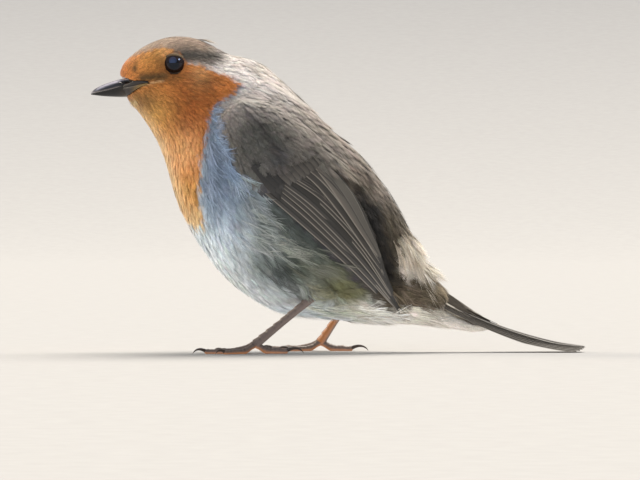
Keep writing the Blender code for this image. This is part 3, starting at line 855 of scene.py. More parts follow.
def scatter_roots(thinning, least, most):
    """Evenly spread places on the form for the roots of feathers of those widths."""
    ends = form_points[form_faces]
    areas = 0.5 * np.linalg.norm(np.cross(ends[:, 2] - ends[:, 0], ends[:, 3] - ends[:, 1]), axis=1)
    _, sizes = tract_mix(ends.mean(1))
    spacing = SPACING * thinning * sizes[:, 1]
    weights = areas / spacing**2 * ((sizes[:, 1] >= least) & (sizes[:, 1] < most))
    count = int(weights.sum() * TRIES)
    chosen = rng.choice(len(ends), count, p=weights / weights.sum())
    a, b = rng.random((2, count, 1))
    quad = ends[chosen]
    spots = (quad[:, 0] * (1 - a) + quad[:, 1] * a) * (1 - b) + (quad[:, 3] * (1 - a) + quad[:, 2] * a) * b
    bare = (eye_opening(spots) < LID_WIDTH + 0.45) | (edge_distance(spots, BARE_MOUTH) > -0.1)
    on_bill = (spots[:, 0] < BILL_END) & (np.abs(spots[:, 1]) < BILL_HALF_WIDTH)
    bare |= on_bill & (np.abs(spots[:, 2] - BILL_MIDDLE) < BILL_HALF_HEIGHT)
    spots, reach = spots[~bare], spacing[chosen][~bare]
    lookup = KDTree(len(spots))
    for i, spot in enumerate(spots):
        lookup.insert(spot, i)
    lookup.balance()
    alive, kept = np.ones(len(spots), bool), []
    for i, spot in enumerate(spots):
        if alive[i]:
            kept.append(i)
            for _, other, _ in lookup.find_range(spot, reach[i]):
                alive[other] = False
    roots = spots[kept]
    roots = roots[~under_wing(roots)]
    print("roots:", len(roots))
    return roots


small = scatter_roots(0.84, 0.0, 1.5)
broad = scatter_roots(0.80, 1.5, 9.0)

# %% [markdown]
# ## One feather, as a pattern
#
# A body feather's barbs leave the shaft at a slant, closed into a vane near it and loose at the edge, so
# the coat looks like short soft hair. Each pattern is drawn flat, one unit long and one wide: a narrow
# vane with a row of thin tapering strips on each side. The wrist's coverts are firm, smooth and rounded,
# and a wisp is a few long barbs with no vane. Six patterns of each kind, with their own small faults,
# keep the coat from looking stamped.

# %% Feather patterns
ASPECT = 3.6  # length over width of a typical body feather
WISP_BARBS = 12


def vane_width(along):
    """Half the width of a feather along its length, as a share of the whole width."""
    return 0.5 * np.sin(np.pi * np.clip(along, 0, 1) ** 0.72) ** 0.65


def strand(start, end, bow, half, bends, rise, shade, tilt):
    """One barb: a flat strip from start to end that tapers to a point."""
    run = (end - start) * (ASPECT, 1)
    run /= np.linalg.norm(run)
    points, last = [], 2 * (bends - 1)
    for step in np.linspace(0, 1, bends + 1)[:-1]:
        middle = start + (end - start) * step + np.array((0, bow * math.sin(math.pi * step)))
        shift = np.array((-run[1] / ASPECT, run[0])) * half * (1 - 0.8 * step**1.3)
        points += [(*(middle - shift), rise * step), (*(middle + shift), rise * step)]
    points.append((*end, rise))
    faces = strip_faces(last) + [(last, last + 2, last + 1)]
    return points, np.array(faces), [shade] * len(points), [tilt] * len(points)


def strip_faces(last):
    """Triangles of a strip whose points come in pairs."""
    return [face for a in range(0, last, 2) for face in ((a, a + 3, a + 1), (a, a + 2, a + 3))]


def feather_pattern(barbs, bends, seed, vane=0.5, sweep=0.30, thick=0.05):
    """Points (along, across, up), faces, and a shade and a tilt for each point."""
    dice = np.random.default_rng(seed)
    stations = np.linspace(0, 0.86, 4)
    halves = vane_width(stations + 0.05) * vane
    web = [(along, side * half, -0.04) for along, half in zip(stations, halves) for side in (-1, 1)]
    parts = [(web, np.array(strip_faces(len(web) - 2)), [0.95] * len(web), [-0.1, 0.1] * len(stations))]
    for side in (-1, 1):
        for k in range(barbs):
            share = (k + 0.6 * dice.random()) / barbs
            start = np.array((0.04 + 0.82 * share, 0.0))
            reach = min(start[0] + sweep + 0.1 * dice.random(), 0.96 + 0.10 * dice.random())
            end = np.array((reach, side * max(vane_width(start[0] + 0.15), 0.04)))
            end[1] *= 0.78 + 0.44 * dice.random()
            rise = 0.03 + dice.normal(0, 0.025)
            shade, tilt = dice.normal(1, 0.08), dice.normal(0, 0.12) + side * 0.12
            parts.append(strand(start, end, side * 0.05 * (1 - share), thick, bends, rise, shade, tilt))
    return joined(parts)


def covert_pattern(seed):
    """A smooth vane with a rounded end, a darker middle and a pale rim."""
    dice = np.random.default_rng(seed)
    rows, columns = 9, 7
    points, faces, shades, tilts = [], [], [], []
    for i in range(rows):
        along = i / (rows - 1)
        half = 0.5 * min(1.0, 0.45 + along * 1.6) * math.sqrt(max(1 - max(along - 0.5, 0) ** 2 * 4, 0.0))
        for k in range(columns):
            across = 2 * k / (columns - 1) - 1
            notch = dice.normal(0, 0.012) if abs(across) == 1 or i == rows - 1 else 0.0
            points.append((along + notch, across * (half + notch), -0.03 * across**2 + 0.02 * along))
            rim = max(abs(across) ** 4, along**6)
            shades.append(0.97 + 0.08 * rim - 0.05 * math.exp(-((across / 0.14) ** 2)))
            tilts.append(-0.12 * across)
    for i in range(rows - 1):
        for k in range(columns - 1):
            a, b = i * columns + k, (i + 1) * columns + k
            faces += [(a, b + 1, a + 1), (a, b, b + 1)]
    return np.array(points), np.array(faces), np.array(shades), np.array(tilts)


def wisp_pattern(seed):
    """A few long barbs that part towards their ends."""
    dice = np.random.default_rng(seed)
    parts = []
    for _ in range(WISP_BARBS):
        start = np.array((dice.random() * 0.25, dice.normal(0, 0.06)))
        end = np.array((0.65 + 0.4 * dice.random(), dice.normal(0, 0.32)))
        bow, rise = dice.normal(0, 0.08), dice.random() * 0.12
        parts.append(strand(start, end, bow, 0.035, 4, rise, dice.normal(1, 0.14), dice.normal(0, 0.1)))
    return joined(parts)


PATTERNS = range(6)
fine_patterns = [feather_pattern(6, 2, 100 + i, thick=0.07) for i in PATTERNS]
body_patterns = [feather_pattern(14, 2, 200 + i) for i in PATTERNS]
loose_patterns = [feather_pattern(13, 3, 300 + i, vane=0.25, sweep=0.42, thick=0.04) for i in PATTERNS]
covert_patterns = [covert_pattern(400 + i) for i in PATTERNS]
wisp_patterns = [wisp_pattern(500 + i) for i in PATTERNS]
for name, kind in (("face", fine_patterns), ("body", body_patterns), ("loose", loose_patterns)):
    print(name, "feather:", len(kind[0][1]), "triangles")

# %% [markdown]
# ## Lay the feathers
#
# A feather is rooted in the skin, leans along the lie of its tract and comes to rest on the outside of
# the plumage, over the next roots, like a tile. Its shaft is found in five short steps along the form,
# so that it bends round the body, and the pattern is bent along the shaft, for all feathers at once.

# %% Shafts
STEPS = 5
ROOT_DEPTH = 0.28  # of the coat's depth


def shafts(roots, lies, sizes, dice, over_wings=False):
    """The places, outward directions and sideways directions along each feather's shaft."""
    count = len(roots)
    length, depth, loose = sizes[:, 0], sizes[:, 2], sizes[:, 3]
    length = length * dice.normal(1, 0.11, count).clip(0.7, 1.35)
    place, outward = on_form(roots, over_wings)
    sway = np.cross(outward, lies) * dice.normal(0, 0.10 + 0.10 * loose, count)[:, None]
    heading = lies + sway
    line, faces_out = [place], [outward]
    for _ in range(STEPS):
        heading = unit(heading - outward * (heading * outward).sum(1, keepdims=True))
        place, outward = on_form(place + heading * (length / STEPS)[:, None], over_wings)
        line.append(place)
        faces_out.append(outward)
    line, faces_out = np.array(line).swapaxes(0, 1), np.array(faces_out).swapaxes(0, 1)
    share = np.linspace(0, 1, STEPS + 1)[None]
    layer = dice.normal(0, 0.05, count) * length * 0.12
    height = -ROOT_DEPTH * depth[:, None] * (1 - share) ** 1.5 + layer[:, None] * share
    height += (loose * dice.random(count) * 0.05 * length)[:, None] * share**2
    shaft = line + faces_out * height[..., None]
    along = unit(np.gradient(shaft, axis=1))
    sideways = unit(np.cross(faces_out, along))
    outward = unit(np.cross(along, sideways))
    return shaft, outward, sideways


def along_shaft(pattern):
    """How each point of a pattern takes its place from the stops along the shaft."""
    flat = pattern[0]
    stop = np.clip(flat[:, 0], 0, 1.08) * STEPS
    first = np.minimum(stop.astype(int), STEPS - 1)
    mix = np.zeros((len(flat), STEPS + 1))
    mix[np.arange(len(flat)), first] = 1 - (stop - first)
    mix[np.arange(len(flat)), first + 1] += stop - first
    return mix


def lay(pattern, shaft, outward, sideways, width):
    """A pattern bent along each shaft: its points and its shading directions."""
    flat, _, _, tilts = pattern
    mix = along_shaft(pattern)
    middle = np.einsum("tk,nkc->ntc", mix, shaft)
    out = unit(np.einsum("tk,nkc->ntc", mix, outward))
    side = unit(np.einsum("tk,nkc->ntc", mix, sideways))
    across = flat[None, :, 1, None] * width[:, None, None]
    up = (flat[None, :, 2, None] - 0.15 * flat[None, :, 1, None] ** 2) * width[:, None, None]
    points = middle + side * across + out * up
    normals = unit(out + side * (flat[None, :, 1, None] * 0.24 + tilts[None, :, None] * 0.7))
    return points, normals


# %% [markdown]
# ## The coat in pieces
#
# The coat is parted by region so that no piece is heavy. Each carries a map named OFBake: the skin is
# unrolled round the bird's axis, and every feather is a tiny patch at the place of its root, so a baked
# picture keeps its colour in its own spot. A feather is a little darker at its root, in the others' shade.

# %% Unroll the skin
axis_names = ["bill_upper", "head", "neck", "trunk", "rump", "tail_coverts", "undertail_coverts"]
axis_line = np.array([(np.array(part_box(n)[0]) + np.array(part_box(n)[1])) / 2 / MM for n in axis_names])
axis_line[:, 1] = 0


def unrolled(points):
    """Place on the unrolled skin: turn about the bird's axis, and place along it, both from 0 to 1."""
    best = np.full(len(points), 1e9)
    along, turn = np.zeros(len(points)), np.zeros(len(points))
    total = len(axis_line) - 1
    for k, (start, end) in enumerate(zip(axis_line, axis_line[1:])):
        run = end - start
        share = np.clip(((points - start) @ run) / (run @ run), 0, 1)
        gap = points - start - share[:, None] * run
        away = np.linalg.norm(gap, axis=1)
        up = unit(np.cross(run, (0, 1, 0)))
        angle = np.arctan2(gap[:, 1], gap @ up) / (2 * math.pi) + 0.5
        closer = away < best
        best[closer], along[closer] = away[closer], (k + share[closer]) / total
        turn[closer] = angle[closer]
    return np.column_stack([turn, along])


print("corners of the bird's axis:", len(axis_line))

# %% One piece of coat
PATCH = 0.003  # width of a feather's patch on the map
MAP_EDGE = 0.02
ROOT_SHADE = 0.88
MOST_DYED = (0.3, 0.85)  # share of a wisp's own colour at its root and tip
SMALL_UNEVEN, BROAD_UNEVEN = 0.20, 0.08  # differences in brightness


def feather_colours(spots, sizes, dyed, dice):
    """A colour for each stop along each shaft, with small differences between the feathers."""
    count = len(spots)
    colour = markings(spots.reshape(-1, 3)).reshape(count, STEPS + 1, 3)
    if dyed is not None:
        share = np.linspace(*MOST_DYED, STEPS + 1)[None, :, None]
        colour = colour * (1 - share) + dyed[:, None] * share
    uneven = np.where(sizes[:, 1] < 1.5, SMALL_UNEVEN, BROAD_UNEVEN)[:, None, None]
    colour = colour * (1 + uneven * dice.normal(0, 1, (count, 1, 1)).clip(-2.2, 2.2))
    return colour * (1 + dice.normal(0, 0.02, (count, 1, 3)))


def store_map(made, name, places, faces):
    """Keeps a map's place for each point, at every corner of the faces."""
    layer = made.data.uv_layers.new(name=name)
    layer.data.foreach_set("uv", places[faces.ravel()].astype(np.float32).ravel())


def coat_piece(name, patterns, roots, lies, sizes, seed, slot, wide=1.0, lift=(0, 0), dyed=None, over=False):
    """One object with a feather on each root. It gives back the number of triangles.

    lift raises root and tip, dyed gives the feathers their own colours, over lays them on the wing."""
    dice = np.random.default_rng(seed)
    shaft, outward, sideways = shafts(roots, lies, sizes, dice, over)
    clear = ~crosses_bare_skin(shaft)
    roots, sizes, shaft, outward, sideways = (a[clear] for a in (roots, sizes, shaft, outward, sideways))
    width = sizes[:, 1] * dice.normal(1, 0.12, len(roots)).clip(0.7, 1.4) * wide
    shaft = shaft + outward * (np.linspace(0, 1, STEPS + 1) * (lift[1] - lift[0]) + lift[0])[None, :, None]
    spots = shaft + dice.normal(0, 0.05, (len(roots), 1, 3)) * sizes[:, :1, None]
    colour = feather_colours(spots, sizes, None if dyed is None else dyed[clear], dice)
    flat = unrolled(roots)
    low, high = flat.min(0), flat.max(0)
    flat = MAP_EDGE + (1 - 2 * MAP_EDGE) * (flat - low) / np.maximum(high - low, PATCH)
    which = dice.integers(0, len(patterns), len(roots))
    parts = []
    for k, pattern in enumerate(patterns):
        mine = which == k
        if not mine.any():
            continue
        laid, facing = lay(pattern, shaft[mine], outward[mine], sideways[mine], width[mine])
        count, size = laid.shape[:2]
        faces = (pattern[1][None] + (np.arange(count) * size)[:, None, None]).reshape(-1, 3)
        shade = ROOT_SHADE + (1 - ROOT_SHADE) * ease(0.1, 0.6, pattern[0][:, 0])
        tint = np.einsum("tk,nkc->ntc", along_shaft(pattern), colour[mine])
        tint = (tint * (shade * pattern[2])[None, :, None]).reshape(-1, 3)
        spread = np.column_stack([pattern[0][:, 1], pattern[0][:, 0] - 0.5]) * PATCH
        places = (flat[mine][:, None] + spread[None]).reshape(-1, 2)
        parts.append((laid.reshape(-1, 3), faces, tint, places, facing.reshape(-1, 3)))
    points, faces, colours, places, normals = joined(parts)
    made = mesh_object(name, points, faces, coat_keratin)
    store_markings(made, colours)
    store_map(made, "OFBake", places, faces)
    made.data.normals_split_custom_set_from_vertices(normals)
    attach(made, "root")
    print(f"{name}: {len(roots)} feathers, {len(faces)} triangles")
    return len(faces)


print("stops along a shaft:", STEPS + 1)

# %% [markdown]
# ## Coverts of the shoulder
#
# The small feathers over the folded wing's front lie in tiers. The lesser coverts are short and soft,
# like the coat, from the bend of the wing down to the wrist, whose own are firm and rounded. The median
# coverts do stand in rows. The scapulars, from the shoulder, lie over the wing's upper edge.

# %% Lesser coverts and the wrist
WING_FIELD = (
    (-32.5, 67), (-31.6, 59.1), (-29, 54.3), (-27.6, 49), (-24, 44), (-18.6, 40),
    (-14, 43), (-9, 46), (-4.5, 49.5), (-6.5, 55), (-12, 60.5), (-19, 65),
    (-27, 68),
)  # fmt: skip
NARROW = 0.74  # body feathers part into locks of this share of their width
BODY_SIDE = 8  # mm from the middle, outside of which a root is on the wing


def in_field(spots, field, margin=0.0, side=BODY_SIDE):
    """True for the places inside a field in side view and out on the side of the bird."""
    return (edge_distance(spots, field) > margin) & (np.abs(spots[:, 1]) > side)


on_wing = in_field(broad, WING_FIELD)
lesser = broad[on_wing & (broad[:, 2] > 49.5)]
lies, sizes = tract_mix(lesser)
sizes[:, 0] *= 1.1
total = coat_piece("lesser_coverts", body_patterns, lesser, lies, sizes, 72, "plumage_brown", NARROW)
wrist = scatter_roots(1.35, 1.5, 9.0)
wrist = wrist[in_field(wrist, WING_FIELD, -0.8) & (wrist[:, 2] < 52)]
lies, sizes = tract_mix(wrist)
sizes[:, :2] *= (1.3, 1.35)
total += coat_piece("wrist_coverts", covert_patterns, wrist, lies, sizes, 70, "plumage_brown")

# %% Median coverts
MEDIAN_ENDS = np.array(((-21.4, 50.2), (-8.6, 56.4)))  # first and last root of the lowest row
MEDIAN_COUNT, MEDIAN_ROWS = 26, 3
ROW_STEP = np.array((-0.6, 0.8))
spots = []
for row in range(MEDIAN_ROWS):
    for k in range(MEDIAN_COUNT):
        share = (k + 0.5 * row) / MEDIAN_COUNT
        x, z = MEDIAN_ENDS[0] * (1 - share) + MEDIAN_ENDS[1] * share + ROW_STEP * row
        spots += [(x, -on_left_side(x, z).y * side, z) for side in (-1, 1)]
spots = np.array(spots)
lies = np.tile((0.66, 0.0, -0.75), (len(spots), 1))
sizes = np.tile((5.6, 2.2, 0.3, 0.1), (len(spots), 1))
where = {"lift": (0.2, 1.7), "over": True}
total += coat_piece("median_coverts", body_patterns, spots, lies, sizes, 73, "plumage_brown", **where)

# %% Scapulars
SCAPULARS = (
    (-26, 66), (-19.5, 59), (-16, 53.6), (-10, 53.2), (-7, 51.9), (1, 49),
    (5, 52), (0, 58), (-10, 67), (-19, 72),
)  # fmt: skip
spots = scatter_roots(0.9, 1.5, 9.0)
spots = spots[in_field(spots, SCAPULARS, side=5)]
lies, sizes = tract_mix(spots)
sizes[:, 0] *= 1.05
where = {"lift": (0.9, 1.1), "over": True}
total += coat_piece("scapulars", body_patterns, spots, lies, sizes, 71, "plumage_brown", NARROW, **where)

# %% [markdown]
# ## The rest of the coat
#
# All other small feathers grow in seven bands, from face to rump, in three kinds: fine ones where they
# are narrow, broad ones, and loose ones where the table of tracts says so. Where there are too many for
# one piece, they are dealt out over several.

# %% Grow the coat, band by band
BANDS = (
    # name, from and to along the bird, slot
    ("coat_face", 0, 0.2, "plumage_orange"),
    ("coat_head", 0.2, 0.31, "plumage_orange"),
    ("coat_neck", 0.31, 0.42, "plumage_orange"),
    ("coat_breast", 0.42, 0.5, "plumage_belly"),
    ("coat_trunk", 0.5, 0.6, "plumage_belly"),
    ("coat_flanks", 0.6, 0.72, "plumage_belly"),
    ("coat_rump", 0.72, 1.01, "plumage_brown"),
)
MOST_TRIANGLES = 190_000
LOOSE = 0.6  # feathers looser than this take the loose patterns
fine_or_broad = (("fine", fine_patterns, small), ("broad", body_patterns, broad[~on_wing]))
for band, (name, start, end, slot_name) in enumerate(BANDS):
    for kind, patterns, spots in fine_or_broad:
        share = unrolled(spots)[:, 1]
        mine = spots[(share >= start) & (share < end)]
        lies, sizes = tract_mix(mine)
        loose = (sizes[:, 3] > LOOSE) & (kind == "broad")
        for made_kind, shapes, chosen in ((kind, patterns, ~loose), ("loose", loose_patterns, loose)):
            picked = np.flatnonzero(chosen)
            parts = math.ceil(len(picked) * len(shapes[0][1]) / MOST_TRIANGLES)
            for part in range(parts):
                some = picked[part::parts]
                label = f"{name}_{made_kind}" + (f"_{part + 1}" if parts > 1 else "")
                own = mine[some], lies[some], sizes[some], band * 7 + part
                total += coat_piece(label, shapes, *own, slot_name, NARROW)
print("coat so far:", total, "triangles")

# %% [markdown]
# ## Loose wisps
#
# Here and there the coat doesn't close. Silky ash-blue barbs fall over the front edge of the wing, pale
# strands stand out from the dark flank, bristles grow from the chin and the corner of the mouth, and the
# ends of the rump and vent feathers are torn and downy. The fringes stand off the coat at their tips and
# break the outline: a tuft behind the crown, two on the rump, and thin ones from chin to vent.

# %% Place the wisps
WISPS = (
    # x, z, lie, length, width, how many, how far they scatter along x and z, colour
    (-32.8, 62.5, -4, 3, 1.3, 20, (0.5, 2.4), "#8ea3bf"),
    (-32.4, 58.5, -14, 3.6, 1.5, 20, (0.5, 2.2), "#7f94b2"),
    (-31.4, 54.5, -24, 4.2, 1.6, 20, (0.7, 1.8), "#8499b4"),
    (-29.6, 49.5, -40, 5, 1.7, 18, (0.9, 1.6), "#8da1b8"),
    (-27.4, 46.4, -46, 7, 1.6, 18, (1.2, 1.2), "#b3c2cf"),
    (-23, 41, -42, 6, 1.5, 12, (2, 1.5), "#a3a9ab"),
    (-34, 48, -60, 6, 2, 34, (1.2, 8), "#8c9cb0"),
    (-23, 33, -28, 7, 1.8, 24, (4, 4), "#a9aea6"),
    (-15, 29, -18, 7, 1.7, 22, (4, 3), "#a5a899"),
    (-9, 23.5, -26, 7, 1.6, 18, (4, 2.5), "#78796a"),
    (-17, 22.5, -46, 6, 1.1, 44, (3, 3.2), "#262b26"),
    (-13, 18, -42, 5, 1.1, 20, (2.4, 2), "#2c302a"),
    (-6, 17, -30, 7, 1.8, 20, (4, 2), "#8a8666"),
    (-4, 11.4, -24, 7, 2.2, 22, (5, 1.2), "#cfcfb8"),
    (8, 9.8, -16, 8, 2.6, 34, (5, 1.3), "#efece0"),
    (20, 9.5, -22, 8, 2.6, 24, (4.5, 1.2), "#d9d4c4"),
    (-54.2, 68, -32, 2.2, 0.9, 14, (0.8, 0.6), "#8a6a35"),
    (-54.8, 66.6, -38, 2, 0.8, 14, (0.6, 0.3), "#c7b07a"),
    (-36.5, 73.2, -14, 3.4, 0.8, 24, (3, 0.9), "#c98a4c"),
    (-36.5, 71.6, -16, 3.2, 0.8, 22, (3.4, 1.2), "#6b4424"),
    (-37, 69.5, -24, 3.4, 0.8, 24, (3.6, 2), "#b67740"),
    (-24, 76.5, -30, 5, 1.8, 26, (3, 1.6), "#c3bbb3"),
    (-14, 66.5, -46, 6, 1.8, 30, (5, 4), "#9d958b"),
    (-1, 52, -52, 7, 1.8, 34, (5, 5), "#8b8277"),
    # darker here, to keep the painted shadow of the gap behind the wing
    (14, 40, -58, 6.5, 1.5, 22, (1.6, 5), "#5a5245"),
    (17.5, 30, -58, 7, 2.2, 30, (1.6, 3), "#d8cab4"),
    (20.5, 24.5, -54, 7, 2.2, 24, (1.2, 2), "#e3d8c4"),
    (24, 19, -40, 7, 2.2, 16, (1.6, 1.2), "#b7a78c"),
    (19, 15.5, -26, 6.5, 2, 24, (3.6, 2.2), "#7d705c"),
    (-19.2, 48.9, -45, 1.5, 0.5, 6, (0.15, 0.15), "#b3936a"),
    (-15.9, 48.9, -40, 1.4, 0.5, 6, (0.15, 0.15), "#a8885c"),
)


def scattered_barbs(rows, seed):
    """Roots, lies, sizes and colours of loose barbs scattered round each row's place."""
    dice = np.random.default_rng(seed)
    spots, lies, sizes, dyed = [], [], [], []
    for x, z, lie, length, width, count, scatter, code in rows:
        for side in (-1, 1):
            for _ in range(count):
                place = (x + dice.normal(0, scatter[0] * 0.7), z + dice.normal(0, scatter[1] * 0.7))
                spot = on_left_side(*place)
                lies.append(pointing(lie + dice.normal(0, 9)))
                spots.append((spot.x, spot.y * -side, spot.z))
                sizes.append((length * dice.normal(1, 0.15), width, 0.35, 1.0))
                dyed.append(hex_to_linear(code) * dice.normal(1, 0.10))
    return np.array(spots), np.array(lies), np.array(sizes), np.array(dyed)


roots, lies, sizes, dyed = scattered_barbs(WISPS, 11)
where = {"lift": (0.25, 0.25), "dyed": dyed, "over": True}
total += coat_piece("wisps", wisp_patterns, roots, lies, sizes, 91, "plumage_belly", **where)

# %% Fringes that break the outline
FRINGES = (
    # name, how far the tips stand off, then a row as above
    ("crown_tuft", 1.2, (-37.2, 83, -6, 5.4, 1.1, 10, (0.8, 0.3), "#d8ccb9")),
    ("rump_fringe", 2, (19, 29.5, -56, 6.5, 2.2, 24, (0.6, 2.4), "#f2e9da")),
    ("rump_tuft", 2.6, (22.4, 23.6, -46, 7, 2, 20, (0.6, 1.4), "#f4ecdf")),
    ("vent_fringe", 0.9, (6.5, 8.6, -22, 6, 2, 34, (3.6, 0.8), "#f4f1e6")),
    ("belly_fringe", 0.7, (-12, 9.6, -26, 5, 1.8, 18, (6, 1.2), "#eef2f0")),
    ("thigh_fringe", 1.8, (-9.6, 18, -50, 5, 1.8, 12, (0.8, 0.6), "#83877c")),
    ("chin_fringe", 0.6, (-54.6, 66.6, -46, 1.9, 0.7, 12, (0.8, 0.3), "#d3c194")),
)
for number, (name, stand, row) in enumerate(FRINGES):
    roots, lies, sizes, dyed = scattered_barbs([row], number)
    where = {"lift": (0.1, stand), "dyed": dyed, "over": True}
    total += coat_piece(name, wisp_patterns, roots, lies, sizes, 92 + number, "plumage_belly", **where)
print("coat:", total, "triangles")

# %% [markdown]
# ## Flight feathers
#
# The long feathers of wing and tail are stiff vanes on a strong shaft, with one web narrow and the other
# wide. In a folded wing each hides all but the narrow outer web of the one below it, so the wing shows
# as a fan of thin strips with pale edges. Each is a thin closed solid with a raised shaft. Fine ridges
# for the barbs, 0.3 mm apart, follow a map of the vane; real barbs are ten times finer.

# %% Quill material
BARB_SPACING = 0.3
BARB_SLANT = 1.3  # how far a barb runs along the shaft for each step out from it
MAP_UNIT = 10  # mm to one unit of the vane's map


def quill_material():
    """Stiff keratin vane: stored colours, with barbs slanting out from the shaft as fine ridges."""
    made, tree, out = new_material("flight feather keratin")
    stored = add_node(tree, "Attribute", {"attribute_name": "markings"})
    vane_map = add_node(tree, "UVMap", {"uv_map": "vane map"})
    parts = add_node(tree, "SeparateXYZ", links={"Vector": vane_map.outputs[0]})
    away = add_node(tree, "Math", {"operation": "ABSOLUTE"}, {0: parts.outputs["X"]})
    lean = {"operation": "MULTIPLY_ADD", 1: -BARB_SLANT}
    slant = add_node(tree, "Math", lean, {0: away.outputs[0], 2: parts.outputs["Y"]})
    wobble = add_node(tree, "TexNoise", {"Scale": 40.0}, {"Vector": vane_map.outputs[0]})
    drift = {"operation": "MULTIPLY_ADD", 1: 0.02}
    along = add_node(tree, "Math", drift, {0: wobble.outputs["Fac"], 2: slant.outputs[0]})
    pace = {"operation": "MULTIPLY", 1: 2 * math.pi * MAP_UNIT / BARB_SPACING}
    turns = add_node(tree, "Math", pace, {0: along.outputs[0]})
    ridge = add_node(tree, "Math", {"operation": "SINE"}, {0: turns.outputs[0]})
    span = {"From Min": -1.0, "From Max": 1.0, "To Min": 0.93, "To Max": 1.06}
    shade = add_node(tree, "MapRange", span, {"Value": ridge.outputs[0]})
    depth = {"Strength": 0.2, "Distance": 0.05 * MM}
    bump = add_node(tree, "Bump", depth, {"Height": ridge.outputs[0]})
    keratin = {"Roughness": 0.55, "IOR": 1.54, "Specular IOR Level": 0.4, "Sheen Weight": 0.08}
    lay_surface(tree, out, stored.outputs["Color"], shade.outputs[0], keratin, bump.outputs[0])
    return made


quill_keratin = quill_material()
print("barbs are", BARB_SPACING, "mm apart")

# %% One vane
VANE_THICK = 0.1
SHAFT_HALF_WIDTH = 0.12
UNDERSIDE_SHADE = 0.7
VANE_COLUMNS = np.array((-1, -0.9, -0.7, -0.45, -0.22, -0.08, -0.03, 0, 0.03, 0.1, 0.3, 0.55, 0.75, 0.88, 1))


def closed_sheet(top, under):
    """A thin closed solid between two grids of points: its points and faces."""
    rows, columns = top.shape[:2]
    cells = np.arange(rows * columns).reshape(rows, columns)
    a, b, c, d = cells[:-1, :-1], cells[:-1, 1:], cells[1:, 1:], cells[1:, :-1]
    quads = np.stack([a, b, c, d], -1).reshape(-1, 4)
    size = rows * columns
    loop = np.concatenate([cells[0], cells[1:, -1], cells[-1, -2::-1], cells[-2:0:-1, 0]])
    after = np.roll(loop, -1)
    rim = np.stack([loop, loop + size, after + size, after], -1)
    faces = np.vstack([quads, quads[:, ::-1] + size, rim])
    across, along = top[0, 1] - top[0, 0], top[1, 0] - top[0, 0]
    if np.cross(across, along) @ (top[0, 0] - under[0, 0]) < 0:
        faces = faces[:, ::-1]
    return np.vstack([top.reshape(-1, 3), under.reshape(-1, 3)]), faces


def vane(shaft, outer_way, out, outer, inner, colour_at, ridge=0.14):
    """A stiff feather as (points, faces, colours, map), with the webs' widths given along the shaft.

    outer_way points to the outer edge and out away from the body. colour_at takes shares across (-1 at
    the inner edge to 1) and along, and millimetres across."""
    share = np.linspace(0, 1, len(shaft))
    across = VANE_COLUMNS[None] * np.where(VANE_COLUMNS[None] > 0, outer[:, None], inner[:, None])
    rise = np.exp(-((across / SHAFT_HALF_WIDTH) ** 2)) * ridge * (1 - 0.7 * share[:, None])
    rise -= 0.018 * across**2
    top = shaft[:, None] + outer_way[:, None] * across[..., None] + out[:, None] * rise[..., None]
    points, faces = closed_sheet(top, top - out[:, None] * VANE_THICK)
    grid_across, grid_along = np.broadcast_arrays(VANE_COLUMNS[None], share[:, None])
    colours = colour_at(grid_across.ravel(), grid_along.ravel(), across.ravel())
    lengths = np.repeat(distances_along(shaft), len(VANE_COLUMNS))
    places = np.column_stack([across.ravel(), lengths]) / MAP_UNIT
    return points, faces, np.vstack([colours, colours * UNDERSIDE_SHADE]), np.vstack([places, places])


def vane_object(name, vanes):
    """Several vanes as one object that rides on the body."""
    points, faces, colours, places = joined(vanes)
    made = mesh_object(name, points, faces, quill_keratin)
    store_markings(made, colours)
    store_map(made, "vane map", places, faces)
    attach(made, "root")
    return made


def curve_through(stops, count):
    """A smooth curve of that many points through a few stops, evenly spread."""
    stops = np.asarray(stops, float)
    padded = np.vstack([2 * stops[0] - stops[1], stops, 2 * stops[-1] - stops[-2]])
    fine = []
    for k in range(len(stops) - 1):
        p0, p1, p2, p3 = padded[k : k + 4]
        for t in np.linspace(0, 1, 24, endpoint=k == len(stops) - 2):
            a = 2 * p1 + (p2 - p0) * t + (2 * p0 - 5 * p1 + 4 * p2 - p3) * t * t
            fine.append(0.5 * (a + (3 * p1 - p0 - 3 * p2 + p3) * t**3))
    fine = np.array(fine)
    lengths = distances_along(fine)
    even = np.linspace(0, lengths[-1], count)
    return np.column_stack([np.interp(even, lengths, column) for column in fine.T])


print("a vane is", len(VANE_COLUMNS), "points wide")

# %% [markdown]
# ## The folded wing
#
# Nine primaries and six secondaries make the fan, and three broad tertials lie over their bases. A few
# leading edges are drawn in side view, and the others come in between. The frame's wing gives how far
# out they lie, and each rests on the one before it. Smaller rows tile the bases: dark coverts over the
# primaries, the three feathers of the alula on them, and browner greater coverts over the secondaries.

